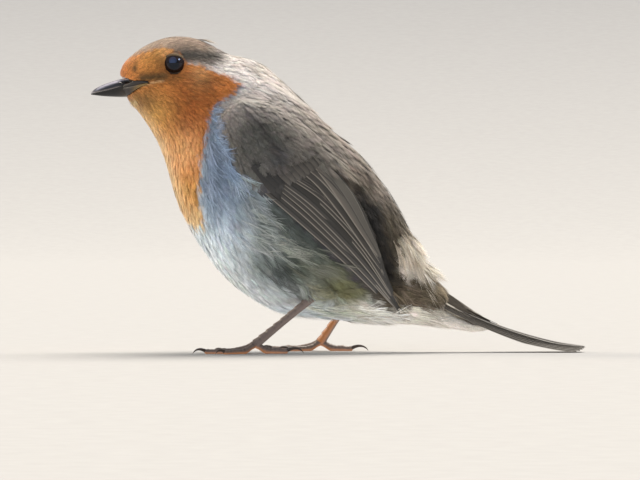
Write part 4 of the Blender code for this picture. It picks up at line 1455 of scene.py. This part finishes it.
# %% Lay feathers on the wing's side
STACK = 0.075  # mm that each flight feather lies above the one below
BROAD_OUTER = 0.42  # share of a broad feather's width that its outer web has
FAN = (
    # place in the fan, then the leading edge from base to tip as (x, z)
    (0, (-20.2, 42.9), (-10.1, 34.2), (1.8, 23.6), (10, 15.6)),
    (1, (-18.1, 43.5), (-8.5, 35.5), (3.6, 23.9), (14.2, 12.5)),
    (2.5, (-16.2, 44.3), (-7.2, 36.8), (4.7, 24.6), (17.2, 9.3)),
    (5, (-14.6, 45.6), (-5.4, 38.7), (5.5, 27), (15, 13.3)),
    (8, (-13, 46.9), (-3.5, 40.5), (6.3, 29.7), (12.4, 18.6)),
    (14, (-9.3, 48.8), (0.5, 42.9), (7.6, 33.4), (11.1, 25.4)),
)
TERTIALS = (
    # leading edge from base to tip as (x, z), whole width, and how dark
    ((-11, 48.8), (-5.4, 43.8), (0.9, 36), (6.6, 28), (11, 22), 4.6, 0.95),
    ((-9.5, 49.6), (-3.8, 44.6), (1.6, 38), (6.9, 30.2), (11, 23.6), 4.6, 1.05),
    ((-7.4, 50.4), (-2.2, 43.6), (2.4, 36.8), (6.4, 30.9), (10.9, 24.6), 5.6, 2.5),
)
WING_AREA = (
    (-30, 60), (-10, 60), (-3, 51.5), (1.8, 46.6), (6.3, 39.8), (8.9, 33.2), (11, 27),
    (13.2, 20), (18.2, 8.6), (17, 8), (-24, 40),
)  # fmt: skip
WING_ROWS = 34
INNER_WEB, OUTER_WEB, PALE_EDGE, DARK_SHAFT = "#36332e", "#413c36", "#8f877a", "#221f1b"


def wing_height(x, z):
    """How far out the frame's wing or plumage is at a place in side view."""
    start, way = Vector((x, -BESIDE, z)), Vector((0, 1, 0))
    hits = [tree.ray_cast(start, way)[0] for tree in (quill_tree, form_tree)]
    outs = [-hit.y for hit in hits if hit is not None]
    return max(outs) if outs else None


def smooth_heights(line):
    """Heights along a line in side view, evened out by a low curve."""
    share = np.linspace(0, 1, len(line))
    found = [wing_height(*point) for point in line]
    good = np.array([value is not None for value in found])
    curve = np.polyfit(share[good], [value for value in found if value is not None], 3)
    return np.polyval(curve, share)


def quill_colour(dark, pale_edge, tone, start=0.2):
    """A colour function: brown web, dark shaft, and a pale outer edge, full from that place on."""

    def colour_at(share, along, across):
        web = blend(hex_to_linear(INNER_WEB), OUTER_WEB, ease(0.0, 1.0, share))
        web = web * tone * (1 - dark * ease(0.2, -0.8, share))[:, None]
        edge = ease(1 - pale_edge, 1.0, share) * ease(start - 0.35, start, along) * ease(0.08, 0.2, pale_edge)
        return blend(blend(web, PALE_EDGE, edge), DARK_SHAFT, 0.8 * np.exp(-((across / 0.1) ** 2)))

    return colour_at


print("leading edges drawn:", len(FAN))

# %% One feather of the wing


def wing_vane(side, lead, width, outer_web, above, colour_at, tip, blunt=2.0, base=0.55, ridge=0.14):
    """A feather on the wing, by its leading edge in side view, and narrowed to stay in the wing's area.

    The tip is the share of it that tapers, and base is how wide it starts."""
    lead = curve_through(lead, WING_ROWS)
    run = unit(np.gradient(lead, axis=0))
    back = np.column_stack([-run[:, 1], run[:, 0]])
    back *= np.sign(back[:, 0:1] + back[:, 1:2])
    share = np.linspace(0, 1, WING_ROWS)
    taper = np.clip(1 - ((share - (1 - tip)) / tip).clip(0, 1) ** blunt, 0.02, 1) ** 0.6
    taper *= base + (1 - base) * ease(0.0, 0.3, share)
    whole = width * taper
    for _ in range(14):
        trail = lead + back * whole[:, None]
        whole = np.where(edge_distance(trail[:, [0, 0, 1]], WING_AREA) < 0, whole * 0.86, whole)
    whole = np.convolve(np.pad(whole, 3, "edge"), np.ones(7) / 7, "valid") * np.minimum(taper * 4, 1)
    outer = np.minimum(outer_web, whole * 0.45)
    trail = lead + back * whole[:, None]
    low, high = smooth_heights(lead) + above, smooth_heights(trail) + above
    edge = np.column_stack([lead[:, 0], side * low, lead[:, 1]])
    rear = np.column_stack([trail[:, 0], side * high, trail[:, 1]])
    way = unit(edge - rear)
    shaft = edge - way * outer[:, None]
    out = unit(np.cross(way, unit(np.gradient(shaft, axis=0))))
    out *= np.sign(out[:, 1:2]) * side
    return vane(shaft, way, out, outer, whole - outer, colour_at, ridge)


def fan_edge(place):
    """The leading edge of the flight feather at a place in the fan."""
    stops = [row[0] for row in FAN]
    edges = np.array([row[1:] for row in FAN])
    flat = edges.reshape(len(FAN), -1)
    return np.array([np.interp(place, stops, column) for column in flat.T]).reshape(-1, 2)


def covert_row(side, first, last, count, lengths, ways, width, above, step, colours):
    """Short feathers whose tips lie along a line in side view, each a step above the one before."""
    made = []
    for k in range(count):
        share = k / (count - 1)
        end = np.array(first) + (np.array(last) - np.array(first)) * share
        turn = math.radians(ways[0] + (ways[1] - ways[0]) * share)
        run = np.array((math.cos(turn), math.sin(turn)))
        length = lengths[0] + (lengths[1] - lengths[0]) * share
        bow = np.array((-run[1], run[0])) * -0.25
        lead = (end - run * length, end - run * length * 0.5 + bow, end)
        paint = quill_colour(*colours)
        shape = {"tip": 0.5, "blunt": 2.2, "base": 0.7, "ridge": 0.03}
        made.append(wing_vane(side, lead, width, width * BROAD_OUTER, above + step * k, paint, **shape))
    return made


print("the first leading edge starts at x, z =", fan_edge(0)[0])

# %% Fold both wings
PRIMARIES, SECONDARIES = range(9), range(9, 15)  # places in the fan
COVERT_ROWS = (
    # first tip, last tip, how many, lengths, ways they point, width, height over the wing, step, colours
    ((-15.2, 40.2), (-13.8, 45.4), 5, (6.5, 6), (-44, -44), 2.1, 0.6, 0.08, (0.2, 0.06, 0.46)),
    ((-16.6, 41.8), (-14.8, 44.2), 3, (9.5, 7.5), (-48, -46), 2.3, 0.85, 0.08, (0.2, 0.05, 0.4)),
    ((-12.6, 44), (-3.6, 48.4), 8, (6.5, 7.5), (-46, -50), 3.4, 1.25, 0.04, (0.1, 0.03, 1.45)),
)


def fan_vane(side, place, width, outer_web, *colours):
    """One flight feather of the fan, stacked over those before it."""
    above = 0.1 + STACK * place
    return wing_vane(side, fan_edge(place), width, outer_web, above, quill_colour(*colours), tip=0.2)


for side, label in ((-1, "left"), (1, "right")):
    tertials = []
    for k, (*lead, wide, tone) in enumerate(TERTIALS):
        paint = quill_colour(0.1, 0.2, tone)
        tertials.append(wing_vane(side, lead, wide, wide * BROAD_OUTER, 1.2 + 0.14 * k, paint, tip=0.3))
    for part, vanes in (
        ("primaries", [fan_vane(side, k, 4.6, 0.95, 0.3, 0.32, 0.95) for k in PRIMARIES]),
        ("secondaries", [fan_vane(side, k, 4.8, 1.0, 0.3, 0.3, 1.0, 0.6) for k in SECONDARIES]),
        ("tertials", tertials),
        ("greater_coverts", [made for row in COVERT_ROWS for made in covert_row(side, *row)]),
    ):
        vane_object(f"{part}_{label}", vanes)
    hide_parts(f"wing_{label}_primaries")
    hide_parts(f"wing_{label}_secondaries")
    print(label, "wing:", len(PRIMARIES) + len(SECONDARIES) + len(tertials), "flight feathers")

# %% [markdown]
# ## The tail
#
# Twelve feathers fold into a narrow stack, the middle pair on top. It follows one curve from the rump to
# the floor, where the tips rest, pressed flat. Long soft coverts hug its base, pale below, brown above.

# %% Lay the tail
TAIL_ROOT = np.array((12.4, 0.0, 23.2))
TAIL_LENGTH = 58.0
TAIL_DOWN = (36.0, 9.0)  # degrees that it points down at its root and at its tip
TAIL_ARCH = 0.05
SHORTER = (0.2, 0.0, 0.3, 0.7, 1.3, 2.2)  # mm, from the middle pair outwards, as below
OUTER_WEBS = (2.7, 2.2, 1.9, 1.7, 1.5, 1.2)
INNER_WEBS = (2.9, 3.6, 4.0, 4.2, 4.2, 4.2)
PRESSED_FROM, CURVE_LOW, FLOOR_GAP = 2.5, -1.15, 0.03  # heights between which the tips are pressed flat


def tail_curve(length, rows):
    """Points along the tail's middle line, and the upward directions there."""
    share = np.linspace(0, length / TAIL_LENGTH, rows)
    down = np.radians(TAIL_DOWN[0] + (TAIL_DOWN[1] - TAIL_DOWN[0]) * share)
    steps = np.column_stack([np.cos(down), np.zeros(rows), -np.sin(down)]) * length / (rows - 1)
    points = TAIL_ROOT + np.vstack([[(0, 0, 0)], np.cumsum((steps[1:] + steps[:-1]) / 2, axis=0)])
    return points, np.column_stack([np.sin(down), np.zeros(rows), np.cos(down)])


def tail_feather(side, order):
    """One tail feather: order 0 is the middle pair and 5 the outermost."""
    rows = 40
    line, up = tail_curve(TAIL_LENGTH - SHORTER[order], rows)
    share = np.linspace(0, 1, rows)
    sideways = 0.25 + 0.22 * order + (0.9 + 0.62 * order) * share**1.2
    drop = TAIL_ARCH * sideways**2 + 0.2 * order + (0.1 if side > 0 else 0.0)
    shaft = line - up * drop[:, None]
    shaft[:, 1] += side * sideways
    tilt = 2 * TAIL_ARCH * sideways[:, None]
    way = unit(np.array((0, side, 0)) - up * tilt)
    out = unit(up + np.array((0, side, 0)) * tilt)
    taper = np.clip(1 - ((share - 0.86) / 0.14).clip(0, 1) ** 2.0, 0.02, 1) ** 0.6
    taper *= 0.55 + 0.45 * ease(0, 0.4, share)
    colour = quill_colour(0.15, 0.16 if order else 0.10, 1.2)
    return vane(shaft, way, out, OUTER_WEBS[order] * taper, INNER_WEBS[order] * taper, colour)


def laid_down(feather):
    """The same feather with its lowest stretch pressed flat on to the floor."""
    height = feather[0][:, 2]
    squeeze = (PRESSED_FROM - FLOOR_GAP) / (PRESSED_FROM - CURVE_LOW)
    low = height < PRESSED_FROM
    height[low] = FLOOR_GAP + (height[low] - CURVE_LOW) * squeeze
    return feather


print("the tail is", TAIL_LENGTH, "mm long")

# %% Coverts above and below the tail
COVERT_ORDERS = range(5)
COVERT_COLOURS = {True: "#e2d9c6", False: "#4a4134"}  # below the tail, above it


def tail_covert(side, order, below):
    """A soft covert that hugs the tail from above or from below, order 0 in the middle."""
    rows = 22
    line, up = tail_curve(40.0, 60)
    first, last = (14, 56 - 3 * order) if below else (20, 52 - 3 * order)
    line = curve_through(line[first:last:3], rows)
    up = unit(curve_through(up[first:last:3], rows))
    share = np.linspace(0, 1, rows)
    away = (2.0 * (1 - share) + 0.2 * share) * (1 - 0.13 * order)
    if below:
        away = -(2.9 - 0.35 * order) * (1 - share) - (1.35 - 0.1 * order) * share - 1.2 * share * (1 - share)
    shaft = line + up * away[:, None]
    shaft[:, 1] += side * (0.3 + 0.62 * order)
    turn = math.radians(17 * order) * (1 if below else -1)
    across = np.array((0.0, side, 0.0))
    way = unit(across * math.cos(turn) + up * math.sin(turn))
    out = unit(up * math.cos(turn) - across * math.sin(turn)) * (-1 if below else 1)
    width = 1.9 * (0.6 + 0.4 * ease(0, 0.4, share)) * np.clip(1 - share ** (2.6 if below else 5), 0.03, 1)

    def colour_at(share, along, across):
        streak = 0.92 + 0.14 * np.sin(across * 23 + along * 9 + order) + 0.07 * np.sin(across * 57 + order)
        return hex_to_linear(COVERT_COLOURS[below]) * (streak * (0.8 + 0.2 * ease(0.0, 0.5, along)))[:, None]

    return vane(shaft, way, out, width, width, colour_at, ridge=0.06)


for label, sides, orders, node in (
    ("middle", (-1, 1), range(1), "tail_centre"),
    ("left", (-1,), range(1, 6), "tail_left"),
    ("right", (1,), range(1, 6), "tail_right"),
):
    vanes = [laid_down(tail_feather(side, order)) for side in sides for order in orders]
    vane_object(f"tail_feathers_{label}", vanes)
    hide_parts(node)
    print(label, "tail feathers:", len(vanes))
for label, below, slot_name in (("undertail", True, "plumage_belly"), ("uppertail", False, "plumage_brown")):
    vanes = [tail_covert(side, order, below) for side in (-1, 1) for order in COVERT_ORDERS]
    vane_object(f"{label}_long", vanes)

# %% [markdown]
# ## The bill
#
# A thin insect eater's bill of dark horn. Each half is lofted through rings from the tip to under the
# feathers of the face, and the upper one is pinched in at the slit of the nostril. The horn is nearly
# black and worn smooth. Painted highlights lie just below the ridge, along the cutting edge, at the tip
# and above the nostril; the horn is greyer just below the nostril, and its slit is painted shade.

# %% Bill of two halves
BILL = (
    # x, ridge, mouth line and keel heights, half width
    (-65.45, 68.75, 68.5, 68.25, 0.1),
    (-64.5, 69.6, 68.7, 68.1, 0.52),
    (-63.1, 70.4, 69, 67.92, 0.92),
    (-61.2, 71.2, 69.4, 67.75, 1.42),
    (-59.2, 71.85, 69.9, 67.65, 1.95),
    (-57.4, 72.35, 70.4, 67.6, 2.5),
    (-55.7, 72.65, 70.7, 67.65, 3.3),
    (-53.6, 72.8, 70.9, 67.9, 4.55),
    (-51.6, 72.6, 71.1, 68.6, 5.75),
)
NOSTRIL = (-56.2, 71.65, 1.7, 0.40)  # x and z of its middle, half length and half height


def nostril(x, z):
    """1 in the middle of the nostril's slit, fading to 0 outside it."""
    slit = ((x - NOSTRIL[0]) / NOSTRIL[2]) ** 2 + ((z - NOSTRIL[1]) / NOSTRIL[3]) ** 2
    return np.exp(-(slit**1.5))


def bill_half(name, upper, material):
    """One half of the bill as a closed loft."""
    rings, around = [], 30
    for x, ridge, mouth, keel, half in curve_through(BILL, 56):
        peak = ridge - mouth if upper else mouth - keel
        ring = []
        for k in range(around):
            turn = math.pi * k / (around - 1)
            y = half * math.copysign(abs(math.cos(turn)) ** 0.85, math.cos(turn))
            height = peak * math.sin(turn) ** (0.9 if upper else 0.75)
            z = mouth + (height + 0.03 if upper else -height - 0.03)
            if upper:
                y *= 1 - 0.35 * nostril(x, z)
            ring.append((x, y, z))
        for share in (-0.6, 0.0, 0.6):
            ring.append((x, half * share, mouth + (0.12 if upper else -0.12)))
        rings.append(ring)
    form = bmesh.new()
    rings = [[form.verts.new(Vector(point) * MM) for point in ring] for ring in rings]
    for here, there in zip(rings, rings[1:]):
        for k, after in enumerate([*range(1, len(here)), 0]):
            form.faces.new((here[k], here[after], there[after], there[k]))
    form.faces.new(rings[0])
    form.faces.new(reversed(rings[-1]))
    bmesh.ops.recalc_face_normals(form, faces=form.faces)
    mesh = bpy.data.meshes.new(name)
    form.to_mesh(mesh)
    form.free()
    mesh.shade_smooth()
    mesh.set_sharp_from_angle(angle=math.radians(55))
    mesh.materials.append(material)
    made = new_object(name, mesh)
    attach(made, "root")
    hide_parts(name.replace("horn", "bill"))
    return made


def horn_material(name, fibre, dark=None, light=None):
    """Polished horn with faint fibres, between two colours or over the stored ones."""
    made, tree, out = new_material(name)
    place = add_node(tree, "TexCoord")
    lengthways = {"Scale": (0.25, 1.0, 1.0)}
    stretch = add_node(tree, "Mapping", lengthways, {"Vector": place.outputs["Object"]})
    grain = {"Scale": 1 / (fibre * MM), "Detail": 4.0}
    fibres = add_node(tree, "TexNoise", grain, {"Vector": stretch.outputs[0]}).outputs["Fac"]
    bump = add_node(tree, "Bump", {"Strength": 0.2, "Distance": 0.03 * MM}, {"Height": fibres})
    if dark:
        between = {"data_type": "RGBA", "A": (*hex_to_linear(dark), 1), "B": (*hex_to_linear(light), 1)}
        colour = add_node(tree, "Mix", between, {"Factor": fibres}).outputs["Result"]
        shade = None
    else:
        colour = add_node(tree, "Attribute", {"attribute_name": "markings"}).outputs["Color"]
        uneven = {"To Min": 0.55, "To Max": 1.45}
        shade = add_node(tree, "MapRange", uneven, {"Value": fibres}).outputs[0]
    horn = {"Roughness": 0.27, "IOR": 1.54, "Specular IOR Level": 0.35}
    horn |= {"Coat Weight": 0.1, "Coat Roughness": 0.14}
    lay_surface(tree, out, colour, shade, horn, bump.outputs[0])
    return made


def bell(values, middle, width):
    """1 where the values are at the middle, fading to 0 over that width."""
    return np.exp(-(((values - middle) / width) ** 2))


def horn_colours(points, upper):
    """Nearly black horn with an olive base, painted highlights on ridge, cutting edge, tip and above the
    nostril, and painted shade in the nostril.
    """
    x, z = points[:, 0], points[:, 2]
    table = np.array(BILL)
    ridge, mouth = (np.interp(x, table[:, 0], table[:, k]) for k in (1, 2))
    over_nostril = z - NOSTRIL[1]
    marks = (("#3a3024", ease(-59.0, -55.5, x) * ease(0.2, -1.4, z - mouth) * 0.6),)
    if upper:
        marks = (
            # painted highlights just below the ridge, along the cutting edge, at the tip and above the
            # nostril
            ("#b5b2bd", bell(z - ridge, -0.38, 0.36) * ease(-65.3, -63.0, x)),
            ("#93877f", bell(z - mouth, 0.10, 0.13) * ease(-56.5, -59.5, x) * 0.85),
            ("#aaa6a8", ease(-64.2, -65.4, x) * 0.8),
            ("#8c8a8b", bell(over_nostril, 0.75, 0.25) * ease(-59, -57, x) * 0.7),
            ("#4d4742", bell(over_nostril, -0.75, 0.25) * ease(-57, -55, x) * 0.6),
            # painted shade in the slit of the nostril
            ("#040303", nostril(x, z)),
        )
    colour = np.tile(hex_to_linear("#0d0b0a"), (len(points), 1))
    for code, share in marks:
        colour = blend(colour, code, share)
    return colour


bill_horn = horn_material("bill horn, worn smooth", 0.5)
for name, upper in (("horn_upper", True), ("horn_lower", False)):
    half = bill_half(name, upper, bill_horn)
    spots = np.array([v.co for v in half.data.vertices]) / MM
    store_markings(half, horn_colours(spots, upper))
print("the bill ends", -BILL[0][0], "mm ahead of the middle")

# %% [markdown]
# ## The corner of the mouth
#
# Behind the horn the mouth goes on as a soft bare flange, nearly as far as below the eye: dark above the
# crease of the mouth, and yellowish olive where the two edges meet. It is laid on the plumage's form.

# %% Soft corner of the mouth
MOUTH = (
    # x, then the heights of its top, its crease and its lower edge
    (-57.6, 70.5, 70.05, 68.8),
    (-56.6, 70.75, 70.15, 68),
    (-55.2, 71.2, 70.35, 68.2),
    (-53.8, 71.7, 70.6, 69.1),
    (-52.2, 71.8, 70.9, 70.1),
    (-50.1, 71.5, 71.2, 70.9),
)
gape_skin = plumage_material("soft skin at the corner of the mouth", 0.5, 0.0, 0.12)


def mouth_corner(side, name):
    """The bare flange on one side of the face."""
    rows, columns = 36, 21
    horn_x, *_, horn_half = np.array(BILL).T
    top = np.zeros((rows, columns, 3))
    for i, (x, high, line, low) in enumerate(curve_through(MOUTH, rows)):
        for k in range(columns):
            share = 2 * k / (columns - 1) - 1
            z = line + (high - line if share > 0 else line - low) * share
            face_out = -on_left_side(x, z).y
            horn_out = np.interp(x, horn_x, horn_half)
            out = max(face_out, horn_out * math.sqrt(max(1 - share**2, 0.0)))
            crease = 0.28 * math.exp(-((share / 0.13) ** 2)) + 0.45 * ease(0.8, 1.0, abs(share))
            crease += 0.6 * ease(0.16, 0.0, i / (rows - 1))
            top[i, k] = (x, side * (out + 0.16 - crease), z)
    under = top - np.array((0, side * 0.6, 0))
    points, faces = closed_sheet(top, under)
    share = np.tile(np.linspace(-1, 1, columns), 2 * rows)
    x = points[:, 0]
    colours = blend(hex_to_linear("#2d2927"), "#7a6238", ease(-55.5, -51.5, x) * ease(0.3, -0.5, share))
    # painted shade along the crease of the mouth, weaker towards the rear
    colours = blend(colours, "#0f0c0a", bell(share, 0, 0.10) * (1 - 0.6 * ease(-54, -51, x)))
    made = mesh_object(name, points, faces, gape_skin)
    store_markings(made, colours)
    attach(made, "root")


mouth_corner(-1, "gape_left")
mouth_corner(1, "gape_right")
print("the mouth's corner is", round(MOUTH[-1][0] - MOUTH[0][0], 1), "mm long")

# %% [markdown]
# ## The eye
#
# A robin's eye is large and looks black: a dark brown iris round a wide pupil, under a clear wet
# cornea. It is one ball that bulges a little in front, with iris and pupil as coloured rings about its
# axis. What an eye mirrors makes it look alive, so two lights a side are linked to the eyes alone: a
# blue patch of sky, and a small glint at the back.

# %% Eyes
CORNEA_BULGE = 0.32
PUPIL_EDGE, IRIS_EDGE = (22, 25), (44, 50)  # degrees off the axis


def eye_material():
    """Wet eye: black pupil, very dark brown iris, and a mirror-smooth tear film."""
    made, tree, out = new_material("eye, wet and dark")
    stored = add_node(tree, "Attribute", {"attribute_name": "markings"})
    veins = add_node(tree, "TexNoise", {"Scale": 2500.0, "Detail": 3.0})
    uneven = {"To Min": 0.7, "To Max": 1.3}
    shade = add_node(tree, "MapRange", uneven, {"Value": veins.outputs["Fac"]})
    tears = {"Roughness": 0.08, "IOR": 1.43, "Specular Tint": (0.66, 0.78, 1.0, 1.0)}
    lay_surface(tree, out, stored.outputs["Color"], shade.outputs[0], tears)
    return made


def eyeball(side, name, material):
    """The ball with its bulging cornea, coloured in rings about its axis."""
    centre, axis, _, _ = eye_frame(side)
    form = bmesh.new()
    bmesh.ops.create_icosphere(form, subdivisions=5, radius=1.0)
    ways = np.array([v.co for v in form.verts])
    faces = np.array([[v.index for v in face.verts] for face in form.faces])
    form.free()
    off_axis = np.degrees(np.arccos(np.clip(ways @ axis, -1, 1)))
    radius = (EYE_RADIUS - 0.03) * (1 + CORNEA_BULGE / EYE_RADIUS * ease(46, 8, off_axis) * 0.5)
    points = centre + ways * radius[:, None]
    colours = blend(hex_to_linear("#050404"), "#1b100a", ease(*PUPIL_EDGE, off_axis))
    colours = blend(colours, "#2c241f", ease(*IRIS_EDGE, off_axis))
    made = mesh_object(name, points, faces, material)
    store_markings(made, colours)
    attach(made, "root")
    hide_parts(name.replace("eyeball", "eye"))


wet_eye = eye_material()
eyeball(-1, "eyeball_left", wet_eye)
eyeball(1, "eyeball_right", wet_eye)
eyes_only = bpy.data.collections.new("eyes only")
for name in ("eyeball_left", "eyeball_right"):
    eyes_only.objects.link(bpy.data.objects[name])
for side in (-1, 1):
    # name, where it comes from, how many degrees it spans, strength, colour
    for row in (
        ("sky seen in the eye", (-150, side * 400, 290), 80, 2.5, "#b4c8ff"),
        ("glint in the eye", (300, side * 150, 300), 15, 1.0, "#e6eeff"),
    ):
        eye_light = soft_sky(*row)
        eye_light.light_linking.receiver_collection = eyes_only
        eye_light.light_linking.blocker_collection = eyes_only
print("eye radius:", round(EYE_RADIUS, 2), "mm")

# %% [markdown]
# ## Legs, toes and claws
#
# A songbird's shank is skin over bone, as thin as a matchstick, clad in a row of horny plates down the
# front, and paler on its inner side and under the toes. Each leg is one mesh of tubes that swell at the
# joints and step at each plate. The claws are separate, curved and tapered.

# %% Leg parts
LEGS = {
    # the upper end of the bare shank, the joint where the toes meet, and how far the foot turns out
    "left": ((-6.73, -13.15, 14.8), (-21.73, -12.4, 2.5), -8),
    "right": ((2.2, 7.4, 12.6), (-4.53, 10.6, 2.5), 10),
}
TOES = {
    # heading from straight ahead in degrees, length, radius, claw length
    "inner": (-30, 9.5, 0.85, 3.8),
    "middle": (0, 13.5, 0.9, 4.2),
    "outer": (30, 10.5, 0.8, 3.6),
    "hind": (176, 8.5, 0.95, 5.6),
}
AROUND = 18
CLAW_BEND = math.radians(70)
SCALE_SIZE = 0.45


def tube(line, radii, plates=0.0, plate_length=1.2, inner=0):
    """A round tube along a line, with stepped plates on its upper side.

    Gives points, faces, the plates' shades with painted shade in their grooves, and 1 where it is pale:
    beneath, or on the inner side."""
    line, radii = np.asarray(line, float), np.asarray(radii, float)
    along = unit(np.gradient(line, axis=0))
    side = unit(np.cross(along, (0.0, 0.0, 1.0)))
    up = unit(np.cross(side, along))
    turn = np.linspace(0, 2 * math.pi, AROUND, endpoint=False)
    step = (distances_along(line) / plate_length) % 1.0
    lift = plates * (step - 0.5)[:, None] * np.clip(np.sin(turn)[None] + 0.3, 0, 1)
    reach = radii[:, None] * (1 + lift)
    points = line[:, None] + side[:, None] * (np.cos(turn)[None] * reach)[..., None]
    points = points + up[:, None] * (np.sin(turn)[None] * reach)[..., None]
    # painted shade in the grooves between the plates, on their upper side
    groove_shade = 1 - 0.60 * bell(step, 0.02, 0.10)[:, None] * np.clip(np.sin(turn) + 0.4, 0, 1)[None]
    pale = ease(0.2, -0.8, np.sin(turn))[None] * np.ones((len(line), 1))
    if inner:
        pale = ease(0.1, 0.9, np.cos(turn)[None] * side[:, 1:2] * inner)
    cells = np.arange(len(line) * AROUND).reshape(len(line), AROUND)
    after = np.roll(cells, -1, axis=1)
    faces = np.stack([cells[:-1], after[:-1], after[1:], cells[1:]], -1).reshape(-1, 4)
    return points.reshape(-1, 3), faces, groove_shade.ravel(), pale.ravel()


def toe(joint, heading, length, radius):
    """A toe's line, thickness and direction: down from the joint, then along the floor."""
    ahead = np.array((-math.cos(heading), -math.sin(heading), 0.0))
    share = np.linspace(0, 1, 46)
    knuckles = 1 + 0.10 * np.cos(2 * math.pi * 3 * share)
    radii = radius * (1 - 0.30 * share) * knuckles
    height = radii * 0.86 + (joint[2] - radius * 0.86) * np.clip(1 - share / 0.4, 0, 1) ** 1.6
    height += 0.22 * np.sin(np.pi * np.clip(share, 0, 1) * 3) ** 2 * (1 - share)
    line = joint + ahead * (length * share)[:, None]
    line[:, 2] = height
    radii[-3:] *= (0.97, 0.85, 0.5)
    return line, radii, ahead


def claw(start, ahead, length, radius):
    """A claw's line and thickness, bowed upwards and then down to its point on the floor."""
    share = np.linspace(0, 1, 20)
    turn = CLAW_BEND * share
    reach = np.sin(turn) / CLAW_BEND * length
    drop = (1 - np.cos(turn)) / CLAW_BEND * length
    radii = np.maximum(radius * (1 - share) ** 0.75, 0.05)
    height = start[2] + 0.25 * np.sin(math.pi * share) - drop
    height += (radii[-1] - height[-1]) * share
    line = start + ahead * reach[:, None]
    line[:, 2] = height
    return line, radii


def scaly_material(name, upper, lower):
    """Thin scaly skin: plates as stored shades with painted shade in their grooves, a fine net of cracks, and
    a dull gloss.
    """
    made, tree, out = new_material(name)
    plates = add_node(tree, "Attribute", {"attribute_name": "plates"})
    beneath = add_node(tree, "Attribute", {"attribute_name": "underside"})
    net = {"Scale": 1 / (SCALE_SIZE * MM), "feature": "DISTANCE_TO_EDGE"}
    cells = add_node(tree, "TexVoronoi", net)
    dark_lines = {"From Max": 0.12, "To Min": 0.6, "To Max": 1.0}
    cracks = add_node(tree, "MapRange", dark_lines, {"Value": cells.outputs["Distance"]})
    between = {"data_type": "RGBA", "A": (*hex_to_linear(upper), 1), "B": (*hex_to_linear(lower), 1)}
    colour = add_node(tree, "Mix", between, {"Factor": beneath.outputs["Fac"]})
    both = {0: plates.outputs["Fac"], 1: cracks.outputs[0]}
    shade = add_node(tree, "Math", {"operation": "MULTIPLY"}, both)
    depth = {"Strength": 0.4, "Distance": 0.06 * MM}
    bump = add_node(tree, "Bump", depth, {"Height": cracks.outputs[0]})
    scales = {"Roughness": 0.42, "IOR": 1.5}
    lay_surface(tree, out, colour.outputs["Result"], shade.outputs[0], scales, bump.outputs[0])
    return made


leg_scales = scaly_material("leg scales, grey brown", "#77665c", "#bd7a45")
claw_horn = horn_material("claw horn", 0.3, "#1c1512", "#4a3a2f")
print("materials:", len(bpy.data.materials))

# %% Build both legs
for label, (top, joint, turn_out) in LEGS.items():
    sign = -1 if label == "left" else 1
    top, joint = np.array(top), np.array(joint)
    share = np.linspace(-0.16, 1, 76)
    shank = top + (joint - top) * share[:, None]
    shank[:, 1] -= sign * 3.2 * ease(0.10, -0.16, share)
    thick = 1.0 * (1 + 0.9 * np.clip(share - 0.45, -0.4, 1) ** 2)
    tubes = [tube(shank, thick, plates=0.22, plate_length=2.4, inner=-sign)]
    for name, (heading, length, radius, claw_length) in TOES.items():
        way = math.radians(-sign * (heading + turn_out * sign))
        line, radii, ahead = toe(joint, way, length, radius)
        tubes.append(tube(line, radii, plates=0.14, plate_length=1.1))
        start = line[-1] - ahead * 0.5
        hook, hook_radii = claw(start, ahead, claw_length + 0.5, radii[-6] * 0.78)
        points, faces, _, _ = tube(hook, hook_radii)
        nail = mesh_object(f"nail_{label}_{name}", points, faces, claw_horn)
        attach(nail, "root")
        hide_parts(f"claw_{label}_{name}")
    points, faces, plates, beneath = joined(tubes)
    points[:, 2] = np.maximum(points[:, 2], 0.0)
    leg = mesh_object(f"leg_{label}", points, faces, leg_scales)
    for layer, values in (("plates", plates), ("underside", beneath)):
        leg.data.attributes.new(layer, "FLOAT", "POINT").data.foreach_set("value", values.astype(np.float32))
    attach(leg, "root")
    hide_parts(f"shank_{label}", f"foot_{label}")
print("leg:", len(faces), "faces")
